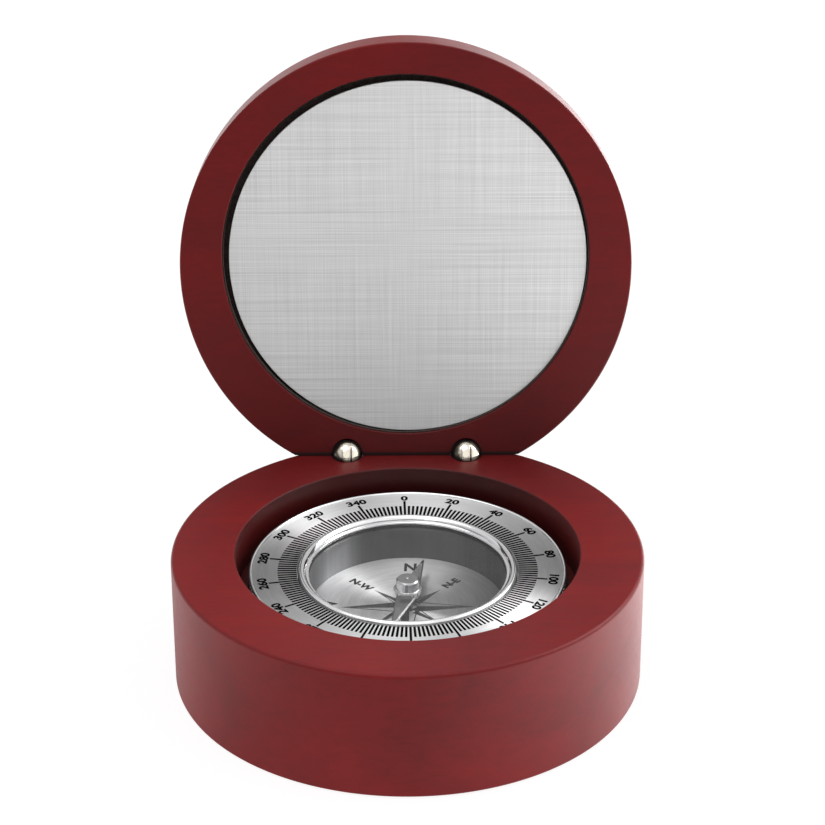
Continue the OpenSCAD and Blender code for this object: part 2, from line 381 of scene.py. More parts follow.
def welded(piece: Piece, gap: float = 0.008) -> None:
    """Merges corners of a piece that lie closer than a gap in millimetres."""
    open_up(piece)
    bpy.ops.mesh.remove_doubles(threshold=gap * MM)
    put_down()


def sawn(piece: Piece, spot: Sequence[float], out: Sequence[float]) -> None:
    """Saws a piece through a spot in millimetres, drops what lies outwards and closes the cut."""
    open_up(piece)
    bpy.ops.mesh.bisect(plane_co=[part * MM for part in spot], plane_no=out, use_fill=True,
                        clear_outer=True, threshold=SAW)
    put_down()


def cut(piece: Piece, *tools: Piece) -> None:
    """Cuts the shapes of tools out of a piece, which uses the tools up."""
    for tool in tools:
        modifier = piece.modifiers.new("cut", "BOOLEAN")
        modifier.operation = "DIFFERENCE"
        modifier.solver = "EXACT"
        modifier.object = tool
        pick_up(piece)
        bpy.ops.object.modifier_apply(modifier=modifier.name)
        bpy.data.objects.remove(tool)


def joined(name: str, *pieces: Piece) -> Piece:
    """Joins pieces into one with a new name and returns it."""
    pick_up(*pieces)
    if len(pieces) > 1:
        bpy.ops.object.join()
    piece = bpy.context.object
    piece.name = piece.data.name = name
    return piece


def smoothed(piece: Piece, sharp: float = 32.0) -> Piece:
    """Smooths the shading up to an angle and lets the large faces lead the normals.

    Args:
        piece: The piece.
        sharp: Edges over this angle in degrees stay crisp.

    Returns:
        The piece.
    """
    pick_up(piece)
    bpy.ops.object.shade_smooth_by_angle(angle=math.radians(sharp))
    modifier = piece.modifiers.new("weights", "WEIGHTED_NORMAL")
    modifier.keep_sharp = True
    bpy.ops.object.modifier_apply(modifier=modifier.name)
    return piece


# Shader work: nodes, shared effects and the finishes


@dataclass(frozen=True)
class Grain:
    """A noise: its scale per metre, its character, and how far it is squashed along X."""

    scale: float
    detail: float = 2.0
    roughness: float = 0.5
    distortion: float = 0.0
    squash: float = 1.0


class NodeBench:
    """Short calls that lay out the nodes of a material or of a shared effect."""

    def __init__(self, tree: bpy.types.NodeTree) -> None:
        """Takes the node tree to work on."""
        self.tree = tree

    def add(self, kind: str, values: dict | None = None, **settings: object) -> bpy.types.Node:
        """Adds a node.

        Args:
            kind: Its type, without the leading ShaderNode.
            values: Socket names or numbers, with a value or with a socket to link from.
            settings: Properties of the node.

        Returns:
            The node.
        """
        node = self.tree.nodes.new(kind if kind.startswith("Node") else f"ShaderNode{kind}")
        for key, value in settings.items():
            setattr(node, key, value)
        self.set(node, values or {})
        return node

    def set(self, node: bpy.types.Node, values: dict) -> None:
        """Sets or links the inputs of a node."""
        for key, value in values.items():
            if isinstance(value, bpy.types.NodeSocket):
                self.tree.links.new(value, node.inputs[key])
            else:
                node.inputs[key].default_value = value

    def maths(self, operation: str, *values: object) -> Socket:
        """Adds a Math node and returns its output."""
        return self.add("Math", dict(enumerate(values)), operation=operation).outputs[0]

    def vector(self, operation: str, *values: object) -> Socket:
        """Adds a Vector Math node and returns its output, a number for a length or a dot product."""
        node = self.add("VectorMath", dict(enumerate(values)), operation=operation)
        return node.outputs["Value" if operation in ("LENGTH", "DOT_PRODUCT") else "Vector"]

    def split(self, vector: Socket) -> Sequence[Socket]:
        """Splits a vector into X, Y and Z."""
        return self.add("SeparateXYZ", {0: vector}).outputs

    def combined(self, x: object, y: object, z: object = 0.0) -> Socket:
        """Puts a vector together."""
        return self.add("CombineXYZ", {0: x, 1: y, 2: z}).outputs[0]

    def weighed(self, *parts: tuple[Socket, float]) -> Socket:
        """Adds up values, each times its weight."""
        terms = [self.maths("MULTIPLY", value, weight) for value, weight in parts]
        total = terms[0]
        for term in terms[1:]:
            total = self.maths("ADD", total, term)
        return total

    def remap(self, value: Socket, low: float, high: float, to_low: float = 0.0,
              to_high: float = 1.0) -> Socket:
        """Maps a value from one range to another, clamped, and returns it."""
        return self.add("MapRange", {0: value, 1: low, 2: high, 3: to_low, 4: to_high}).outputs[0]

    def over(self, length: Socket, low: float, high: float, to_low: float = 0.0,
             to_high: float = 1.0) -> Socket:
        """Maps a length, with its range in millimetres, to another range."""
        return self.remap(length, low * MM, high * MM, to_low, to_high)

    def blend(self, factor: object, one: object, two: object, mode: str = "MIX") -> Socket:
        """Mixes two colours and returns the result."""
        node = self.add("Mix", data_type="RGBA", blend_type=mode)
        self.set(node, {0: factor, 6: one, 7: two})
        return node.outputs[2]

    def grey(self, value: Socket) -> Socket:
        """Makes a grey of a value."""
        return self.add("CombineColor", {0: value, 1: value, 2: value}).outputs[0]

    def shaded(self, colour: object, factor: Socket) -> Socket:
        """Multiplies a colour by a value."""
        return self.blend(1.0, colour, self.grey(factor), "MULTIPLY")

    def noise(self, vector: Socket, grain: Grain) -> Socket:
        """Adds a noise texture and returns its value."""
        at = self.mapped(vector, (grain.squash, 1, 1)) if grain.squash != 1 else vector
        return self.add("TexNoise", {
            "Vector": at, "Scale": grain.scale, "Detail": grain.detail,
            "Roughness": grain.roughness, "Distortion": grain.distortion}).outputs[0]

    def mapped(self, vector: Socket, scale: Sequence[float] = (1, 1, 1),
               turn: Sequence[float] = (0, 0, 0), shift: Sequence[float] = (0, 0, 0)) -> Socket:
        """Adds a Mapping node, with its turn in degrees, and returns the vector."""
        return self.add("Mapping", {
            "Vector": vector, "Scale": scale, "Rotation": [math.radians(part) for part in turn],
            "Location": shift}).outputs[0]


class Effect(NodeBench):
    """A node group with named inputs and outputs."""

    def __init__(self, name: str, inputs: dict[str, float | None], outputs: Sequence[str]) -> None:
        """Makes the group's interface.

        Args:
            name: Name of the group.
            inputs: Name and default of each input; None stands for a vector.
            outputs: Names of the outputs, which are numbers.
        """
        super().__init__(bpy.data.node_groups.new(name, "ShaderNodeTree"))
        for key, default in inputs.items():
            kind = "NodeSocketVector" if default is None else "NodeSocketFloat"
            socket = self.tree.interface.new_socket(name=key, in_out="INPUT", socket_type=kind)
            if default is not None:
                socket.default_value = default
        for key in outputs:
            self.tree.interface.new_socket(name=key, in_out="OUTPUT", socket_type="NodeSocketFloat")
        self.given = self.add("NodeGroupInput").outputs
        self.result = self.add("NodeGroupOutput")

    def give(self, **results: Socket) -> bpy.types.NodeTree:
        """Links the results to the outputs and returns the group."""
        self.set(self.result, results)
        return self.tree


class SharedEffects:
    """The effects that more than one finish uses."""

    def __init__(self) -> None:
        """Builds each group once."""
        self.turning_marks = self.build_turning_marks()
        self.hairlines = self.build_hairlines()
        self.handling = self.build_handling()

    @staticmethod
    def build_turning_marks() -> bpy.types.NodeTree:
        """Builds fine rings round the Z axis, broken into arcs."""
        fx = Effect("turning_marks", {"Vector": None, "Rings": 4000.0, "Arcs": 3.0}, ("Fine", "Broad"))
        x, y, _ = fx.split(fx.given["Vector"])
        flat = fx.combined(x, y)
        spoke_x, spoke_y, _ = fx.split(fx.vector("NORMALIZE", flat))
        across = fx.maths("MULTIPLY", fx.vector("LENGTH", flat), fx.given["Rings"])
        u = fx.maths("MULTIPLY", spoke_x, fx.given["Arcs"])
        v = fx.maths("MULTIPLY", spoke_y, fx.given["Arcs"])
        fewer = fx.maths("MULTIPLY", across, 0.23)
        return fx.give(Fine=fx.noise(fx.combined(u, v, across), Grain(1.0, 3.0, 0.7)),
                       Broad=fx.noise(fx.combined(u, v, fewer), Grain(1.0, 2.0, 0.6)))

    @staticmethod
    def build_hairlines() -> bpy.types.NodeTree:
        """Builds fine straight lines along X with ends that fade, as from a brushing belt."""
        fx = Effect("hairlines", {"Vector": None, "Across": 5000.0, "Along": 120.0},
                    ("Fine", "Scratches"))
        x, y, _ = fx.split(fx.given["Vector"])
        at = fx.combined(fx.maths("MULTIPLY", x, fx.given["Along"]),
                         fx.maths("MULTIPLY", y, fx.given["Across"]))
        wide = fx.mapped(at, (0.35, 0.3, 1), shift=(7.3, 2.1, 4.0))
        return fx.give(Fine=fx.noise(at, Grain(1.0, 3.0, 0.75)),
                       Scratches=fx.remap(fx.noise(wide, Grain(1.0, 2.0, 0.6)), 0.57, 0.72))

    @staticmethod
    def build_handling() -> bpy.types.NodeTree:
        """Builds faint smudges and dust from handling."""
        fx = Effect("handling", {"Vector": None, "Size": 120.0}, ("Smudge", "Dust"))
        at = fx.add("VectorMath", {0: fx.given["Vector"], "Scale": fx.given["Size"]},
                    operation="SCALE").outputs[0]
        return fx.give(Smudge=fx.remap(fx.noise(at, Grain(1.0, 3.0, 0.55, 0.4)), 0.35, 0.7),
                       Dust=fx.remap(fx.noise(at, Grain(34.0, 1.0, 0.5)), 0.68, 0.8))


class Material(NodeBench):
    """One material: a Principled BSDF and the nodes that feed it."""

    def __init__(self, name: str, effects: SharedEffects) -> None:
        """Makes the material and its object coordinates."""
        self.made = bpy.data.materials.new(name)
        self.made.use_nodes = True
        super().__init__(self.made.node_tree)
        self.effects = effects
        self.surface = self.tree.nodes["Principled BSDF"]
        self.place = self.add("TexCoord").outputs["Object"]

    def group(self, tree: bpy.types.NodeTree, values: dict) -> dict[str, Socket]:
        """Places a shared effect with its own values and returns its outputs."""
        node = self.tree.nodes.new("ShaderNodeGroup")
        node.node_tree = tree
        self.set(node, values)
        return node.outputs

    def smudged(self, colour: Colour, size: float) -> tuple[Socket, Socket]:
        """Dulls a colour with faint smudges from handling.

        Args:
            colour: The clean colour.
            size: How many smudges there are to a metre.

        Returns:
            The colour and the smudges.
        """
        smudge = self.group(self.effects.handling, {"Vector": self.place, "Size": size})["Smudge"]
        dull = tuple(0.75 * part for part in colour[:3]) + (1,)
        return self.blend(self.maths("MULTIPLY", smudge, 0.12), colour, dull), smudge

    def shine(self, values: dict) -> None:
        """Sets or links sockets of the surface shader."""
        self.set(self.surface, values)

    def bump(self, height: Socket, depth: float, strength: float = 1.0) -> None:
        """Feeds the surface's normal from a height, with a depth in millimetres."""
        node = self.add("Bump", {"Height": height, "Distance": depth * MM, "Strength": strength})
        self.shine({"Normal": node.outputs[0]})


class Finish:
    """A finish: its numbers, and how they become a material."""

    name: str

    def make(self, effects: SharedEffects) -> bpy.types.Material:
        """Builds the material."""
        mat = Material(self.name, effects)
        self.lay_out(mat)
        return mat.made

    def lay_out(self, mat: Material) -> None:
        """Lays out the nodes that feed the surface."""
        raise NotImplementedError


@dataclass(frozen=True)
class CherryWood(Finish):
    """Satin lacquer over cherry-red stained wood.

    It is browner and darker inside the bore, has painted shade that darkens it towards the hinge joint and
    on the lid, and a painted shadow line that makes it nearly black in the joint.
    Lengths are in millimetres.
    """

    name: str = "cherry_wood"
    red: Colour = (0.285, 0.0095, 0.0105, 1)
    deep: Colour = (0.14, 0.0085, 0.0105, 1)
    pore: Colour = (0.05, 0.008, 0.008, 1)
    raw: Colour = (0.42, 0.85, 0.75, 1)
    cloud: Grain = Grain(40.0, 3.0, 0.55, 0.6, 0.7)
    mottle: Grain = Grain(900.0, 3.0, 0.6, squash=0.45)
    fibre: Grain = Grain(3200.0, 2.0, 0.6, squash=0.05)
    streaks: Grain = Grain(420.0, 3.0, 0.6, 0.3, 0.12)
    pores: Grain = Grain(2400.0, 1.0, 0.4, squash=0.09)
    cloud_span: Span = (0.34, 0.7, 0.1, 0.7)
    grain_span: Span = (0.38, 0.82, 0.86, 1.15)
    pore_span: Span = (0.66, 0.76, 0.0, 0.12)
    bore_span: Span = (30.0, 30.12, 1.0, 0.0)
    joint_y: float = 35.3
    joint_z: float = 23.5
    # Painted shade near the hinge joint and on the lid, and a painted shadow line in the joint.
    joint_span: Span = (3.0, 36.0, 0.66, 1.0)
    line_span: Span = (0.3, 0.65, 0.1, 1.0)
    lid_span: Span = (0.1, 0.3, 1.0, 0.86)
    gloss_span: Span = (0.35, 0.65, 0.4, 0.47)
    specular: float = 0.28
    mirrored_grey: float = 0.8

    def lay_out(self, mat: Material) -> None:
        """Lays out stain, grain and lacquer; for glossy rays the colour is painted grey, a painted
        reflection tone in the polished metal beside it.
        """
        cloud, mottle, fibre, streaks, pits = (
            mat.noise(mat.place, grain)
            for grain in (self.cloud, self.mottle, self.fibre, self.streaks, self.pores))
        pores = mat.remap(pits, *self.pore_span)
        stain = mat.blend(mat.remap(cloud, *self.cloud_span), self.red, self.deep)
        grain = mat.weighed((mottle, 0.55), (fibre, 0.3), (streaks, 0.35))
        colour = mat.blend(pores, mat.shaded(stain, mat.remap(grain, *self.grain_span)), self.pore)

        x, y, z = mat.split(mat.place)
        # Browner and darker inside the bore.
        inside = mat.over(mat.vector("LENGTH", mat.combined(x, y)), *self.bore_span)
        colour = mat.blend(inside, colour, mat.blend(1.0, colour, self.raw, "MULTIPLY"))

        # Painted shade: darker towards the hinge joint and on the lid, and a painted shadow line nearly
        # black in the joint.
        up = mat.maths("SUBTRACT", z, self.joint_z * MM)
        away = mat.vector("LENGTH", mat.combined(mat.maths("SUBTRACT", y, self.joint_y * MM), up))
        joint_painted_shade = mat.maths("MULTIPLY", mat.over(away, *self.joint_span), mat.over(up, *self.lid_span))
        joint_painted_shade = mat.maths("MULTIPLY", joint_painted_shade, mat.over(away, *self.line_span))
        colour = mat.shaded(colour, joint_painted_shade)

        # Painted reflection: glossy rays see the wood in grey.
        grey = mat.grey(mat.add("RGBToBW", {0: colour}).outputs[0])
        glossy_ray = mat.add("LightPath").outputs["Is Glossy Ray"]
        mirrored = mat.maths("MULTIPLY", glossy_ray, self.mirrored_grey)
        gloss = mat.remap(mat.weighed((mottle, 0.6), (cloud, 0.4)), *self.gloss_span)
        mat.shine({"Base Color": mat.blend(mirrored, colour, grey), "Roughness": gloss,
                   "Specular IOR Level": self.specular})
        mat.bump(mat.weighed((fibre, 0.4), (mottle, 1.0), (pores, -1.5)), 0.012, 0.5)


@dataclass(frozen=True)
class DarkFelt(Finish):
    """Short dark felt with a fuzzy surface."""

    name: str = "dark_felt"
    deep: Colour = (0.02, 0.015, 0.0138, 1)
    pile: Colour = (0.09, 0.067, 0.06, 1)
    sheen: Colour = (0.7, 0.62, 0.58, 1)
    fuzz: Grain = Grain(5200.0, 3.0, 0.7, 0.8)
    tufts: Grain = Grain(1100.0, 2.0, 0.6)

    def lay_out(self, mat: Material) -> None:
        """Lays out the pile and its sheen."""
        fuzz = mat.noise(mat.place, self.fuzz)
        tufts = mat.noise(mat.place, self.tufts)
        level = mat.remap(mat.weighed((fuzz, 0.7), (tufts, 0.3)), 0.36, 0.64)
        mat.shine({"Base Color": mat.blend(level, self.deep, self.pile), "Roughness": 0.95,
                   "Specular IOR Level": 0.2, "Sheen Weight": 0.35, "Sheen Roughness": 0.4,
                   "Sheen Tint": self.sheen})
        mat.bump(fuzz, 0.06)


@dataclass(frozen=True)
class CrossBrushedPlate(Finish):
    """Bare plate of satin metal, brushed both ways like linen.

    The lines are given as lines across and breaks along to a metre.
    """

    lean: float
    name: str = "brushed_plate"
    light: Colour = (0.76, 0.755, 0.75, 1)
    dark: Colour = (0.53, 0.53, 0.535, 1)
    level_lines: tuple[float, float] = (4900.0, 26.0)
    upright_lines: tuple[float, float] = (4600.0, 34.0)
    tone_span: Span = (0.3, 0.66, 0.0, 1.0)
    gloss_span: Span = (0.3, 0.7, 0.74, 0.64)

    def lay_out(self, mat: Material) -> None:
        """Lays out the two sets of lines in the plane of the open lid."""
        plane = mat.mapped(mat.place, turn=(self.lean, 0, 0))
        quarter = mat.mapped(plane, turn=(0, 0, 90), shift=(0.4, 0.7, 0.0))
        level, upright = (
            mat.group(mat.effects.hairlines, {"Vector": at, "Across": across, "Along": along})
            for at, (across, along) in ((plane, self.level_lines), (quarter, self.upright_lines)))
        weave = mat.weighed((level["Fine"], 0.6), (upright["Fine"], 0.4))
        colour = mat.blend(mat.remap(weave, *self.tone_span), self.dark, self.light)
        marks = mat.maths("MAXIMUM", mat.maths("MULTIPLY", level["Scratches"], 0.28),
                          mat.maths("MULTIPLY", upright["Scratches"], 0.14))
        mat.shine({"Base Color": mat.blend(marks, colour, self.dark), "Metallic": 1.0,
                   "Roughness": mat.remap(weave, *self.gloss_span)})
        mat.bump(weave, 0.012, 0.6)


@dataclass(frozen=True)
class PolishedMetal(Finish):
    """Polished or satin metal with faint smudges."""

    name: str
    colour: Colour
    roughness: tuple[float, float] = (0.05, 0.12)
    smudge_size: float = 260.0

    def lay_out(self, mat: Material) -> None:
        """Lays out the smudges, which are duller and rougher."""
        colour, smudge = mat.smudged(self.colour, self.smudge_size)
        mat.shine({"Base Color": colour, "Metallic": 1.0,
                   "Roughness": mat.remap(smudge, 0.0, 1.0, *self.roughness)})


@dataclass(frozen=True)
class CapChrome(Finish):
    """Chrome of the needle's cap, painted darker than plain chrome as painted shade, with a satin top
    painted darker still.
    """

    name: str = "cap_chrome"
    side: Colour = (0.46, 0.46, 0.47, 1)
    top: Colour = (0.27, 0.27, 0.275, 1)
    top_span: tuple[float, float] = (17.05, 17.08)
    roughness: tuple[float, float] = (0.03, 0.34)
    specks: Grain = Grain(9000.0, 2.0)

    def lay_out(self, mat: Material) -> None:
        """Lays out the side and the top, which begins at a height; the top's darker colour is painted shade.
        """
        satin = mat.over(mat.split(mat.place)[2], *self.top_span)
        shade = mat.remap(mat.noise(mat.place, self.specks), 0.3, 0.7, 0.88, 1.12)
        mat.shine({"Base Color": mat.shaded(mat.blend(satin, self.side, self.top), shade),
                   "Metallic": 1.0, "Roughness": mat.remap(satin, 0.0, 1.0, *self.roughness)})


@dataclass(frozen=True)
class BallNickel(Finish):
    """Warm nickel plate on the hinge balls: a painted lit side faces the front and painted shade covers the
    rest.
    """

    name: str = "nickel"
    bright: Colour = (0.86, 0.79, 0.67, 1)
    tarnish: Colour = (0.10, 0.085, 0.07, 1)
    centre: Spot = (11.0, 35.3, 23.5)
    facing: Spot = (0.17, -0.75, 0.64)
    reach: tuple[float, float] = (0.7, 0.83)
    ragged: Grain = Grain(900.0)
    roughness: tuple[float, float] = (0.22, 0.06)
    smudge_size: float = 400.0

    def lay_out(self, mat: Material) -> None:
        """Lays out the painted lit cap facing the front, round the middle of the ball on either side; the
        rest is painted shade.
        """
        x, y, z = (part * MM for part in self.centre)
        side = mat.maths("MULTIPLY", mat.maths("SIGN", mat.split(mat.place)[0]), x)
        spoke = mat.vector("SUBTRACT", mat.place, mat.combined(side, y, z))
        showing = mat.vector("DOT_PRODUCT", mat.vector("NORMALIZE", spoke), self.facing)
        rough_edge = mat.remap(mat.noise(mat.place, self.ragged), 0.3, 0.7, -0.05, 0.05)
        # Painted highlight on the side that faces the front, painted shade on the rest of the ball.
        painted_lit_side = mat.remap(mat.maths("ADD", showing, rough_edge), *self.reach)
        polished, _ = mat.smudged(self.bright, self.smudge_size)
        mat.shine({"Base Color": mat.blend(painted_lit_side, self.tarnish, polished), "Metallic": 1.0,
                   "Roughness": mat.remap(painted_lit_side, 0.0, 1.0, *self.roughness)})


@dataclass(frozen=True)
class TurnedMetal(Finish):
    """Silvery metal, brushed in rings on the lathe.

    Painted shade darkens it from left to right: its fall maps the distance along X in millimetres to what is
    left.
    """

    name: str
    light: Colour
    dark: Colour
    rings: float
    arcs: float
    roughness: float
    anisotropy: float
    relief: float
    fall: Span = (-10.0, 10.0, 1.0, 1.0)

    def lay_out(self, mat: Material) -> None:
        """Lays out the rings, with the highlight drawn out across them."""
        marks = mat.group(mat.effects.turning_marks,
                          {"Vector": mat.place, "Rings": self.rings, "Arcs": self.arcs})
        level = mat.weighed((marks["Fine"], 0.55), (marks["Broad"], 0.45))
        colour = mat.blend(mat.remap(level, 0.34, 0.66), self.dark, self.light)
        # Painted shade, darker towards +X.
        left = mat.over(mat.split(mat.place)[0], *self.fall)
        tangent = mat.add("Tangent", direction_type="RADIAL", axis="Z").outputs[0]
        mat.shine({"Base Color": mat.shaded(colour, left), "Metallic": 1.0,
                   "Roughness": self.roughness, "Anisotropic": self.anisotropy,
                   "Anisotropic Rotation": 0.25, "Tangent": tangent})
        mat.bump(marks["Fine"], self.relief, 0.5)


@dataclass(frozen=True)
class MattSolid(Finish):
    """Plain matt stuff, such as ink, rubber or foam, with a fine mottle."""

    name: str
    light: Colour
    dark: Colour
    grain: float = 3000.0
    roughness: tuple[float, float] = (0.5, 0.7)
    relief: float = 0.004
    specular: float = 0.5

    def lay_out(self, mat: Material) -> None:
        """Lays out the mottle."""
        speck = mat.noise(mat.place, Grain(self.grain, 3.0, 0.6))
        mat.shine({"Base Color": mat.blend(mat.remap(speck, 0.35, 0.65), self.dark, self.light),
                   "Roughness": mat.remap(speck, 0.35, 0.65, *self.roughness),
                   "Specular IOR Level": self.specular})
        mat.bump(speck, self.relief, 0.5)


@dataclass(frozen=True)
class BrushedBlade(Finish):
    """Polished blade: fine lines along it, with the half that points north greyer."""

    bearing: float
    name: str = "needle_steel"
    bright: Colour = (0.28, 0.28, 0.285, 1)
    grey: Colour = (0.26, 0.26, 0.265, 1)
    lines: tuple[float, float] = (9000.0, 90.0)
    north_span: tuple[float, float] = (0.0, 0.2)
    roughness: tuple[float, float] = (0.03, 0.32)

    def lay_out(self, mat: Material) -> None:
        """Lays out the lines along the blade, and its two halves."""
        along = mat.mapped(mat.place, turn=(0, 0, self.bearing + 90))
        across, breaks = self.lines
        fine = mat.group(mat.effects.hairlines,
                         {"Vector": along, "Across": across, "Along": breaks})["Fine"]
        north = mat.over(mat.split(along)[0], *self.north_span)
        colour = mat.shaded(mat.blend(north, self.bright, self.grey),
                            mat.remap(fine, 0.3, 0.7, 0.9, 1.06))
        mat.shine({"Base Color": colour, "Metallic": 1.0,
                   "Roughness": mat.remap(north, 0.0, 1.0, *self.roughness)})
        mat.bump(fine, 0.001, 0.1)


@dataclass(frozen=True)
class ClearGlass(Finish):
    """Clear glass that lets the lamps' light through, with a trace of dust."""

    name: str = "lens_glass"
    tint: Colour = WHITE
    mirror_tint: Colour = (0.12, 0.12, 0.12, 1)
    dust_size: float = 180.0

    def lay_out(self, mat: Material) -> None:
        """Lays out the glass; rays from lamps pass it as through a thin clear pane."""
        dust = mat.group(mat.effects.handling, {"Vector": mat.place, "Size": self.dust_size})["Dust"]
        mat.shine({"Base Color": self.tint, "IOR": 1.5, "Transmission Weight": 1.0,
                   "Specular Tint": self.mirror_tint, "Roughness": mat.remap(dust, 0.0, 1.0, 0.0, 0.05)})
        clear = mat.add("BsdfTransparent", {"Color": self.tint})
        lamp_ray = mat.add("LightPath").outputs["Is Shadow Ray"]
        mix = mat.add("MixShader", {0: lamp_ray, 1: mat.surface.outputs[0], 2: clear.outputs[0]})
        mat.set(mat.tree.nodes["Material Output"], {"Surface": mix.outputs[0]})


class Palette:
    """All finishes of the compass, made once."""

    def __init__(self, lid_lean: float, needle_bearing: float) -> None:
        """Builds the shared effects and each finish."""
        effects = SharedEffects()
        self.wood = CherryWood().make(effects)
        self.felt = DarkFelt().make(effects)
        self.plate = CrossBrushedPlate(lid_lean).make(effects)
        self.chrome = PolishedMetal("chrome", (0.86, 0.86, 0.87, 1)).make(effects)
        self.cap = CapChrome().make(effects)
        self.nickel = BallNickel().make(effects)
        self.steel = PolishedMetal("steel", (0.6, 0.6, 0.62, 1), roughness=(0.2, 0.32)).make(effects)
        self.alloy = PolishedMetal("cast_alloy", (0.34, 0.34, 0.35, 1), roughness=(0.38, 0.5)).make(effects)
        # The sleeve and the dial carry painted shade that darkens them towards +X.
        self.sleeve = TurnedMetal(
            "grey_sleeve", light=(0.34, 0.34, 0.35, 1), dark=(0.24, 0.24, 0.25, 1), rings=3000.0,
            arcs=9.0, roughness=0.36, anisotropy=0.9, relief=0.001,
            fall=(-14.5, -7.5, 1.0, 0.27)).make(effects)
        self.ring = TurnedMetal(
            "degree_ring_silver", light=(0.76, 0.76, 0.765, 1), dark=(0.66, 0.66, 0.665, 1), rings=5200.0,
            arcs=5.0, roughness=0.49, anisotropy=0.95, relief=0.002).make(effects)
        self.dial = TurnedMetal(
            "dial_silver", light=WHITE, dark=(0.76, 0.76, 0.77, 1), rings=3300.0,
            arcs=2.2, roughness=0.44, anisotropy=0.95, relief=0.003,
            fall=(-9.0, 11.0, 1.0, 0.58)).make(effects)
        self.ink = MattSolid(
            "black_ink", light=(0.004, 0.004, 0.0042, 1), dark=(0.0015, 0.0015, 0.0016, 1), grain=2600.0,
            roughness=(0.5, 0.65), relief=0.002, specular=0.02).make(effects)
        self.grey_ink = MattSolid(
            "grey_ink", light=(0.048, 0.048, 0.05, 1), dark=(0.03, 0.03, 0.032, 1), grain=2600.0,
            roughness=(0.5, 0.65), relief=0.002, specular=0.05).make(effects)
        self.rubber = MattSolid(
            "black_rubber", light=(0.022, 0.022, 0.022, 1), dark=(0.01, 0.01, 0.01, 1)).make(effects)
        self.foam = MattSolid(
            "black_foam", light=(0.014, 0.013, 0.013, 1), dark=(0.003, 0.003, 0.003, 1), grain=4200.0,
            roughness=(0.85, 0.95), relief=0.04).make(effects)
        self.blade = BrushedBlade(needle_bearing).make(effects)
        self.glass = ClearGlass().make(effects)
        self.jewel = ClearGlass("ruby_glass", (0.7, 0.05, 0.12, 1)).make(effects)


def dressed(piece: Piece, finish: bpy.types.Material, body: Body, slot: str | None = None,
            *nodes: str) -> None:
    """Gives a finished piece its material, its body and the solids that it stands for.

    Args:
        piece: The piece.
        finish: Its material.
        body: The body that it rides on.
        slot: Not used; the record's material slot, which printed marks don't have.
        nodes: Solids that it replaces.
    """
    piece.data.materials.clear()
    piece.data.materials.append(finish)
    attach(piece, body.value)
    if nodes:
        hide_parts(*nodes)
    log.info("%s: %d faces on %s", piece.name, len(piece.data.polygons), body.value)


# The compass: one class for each sub-assembly


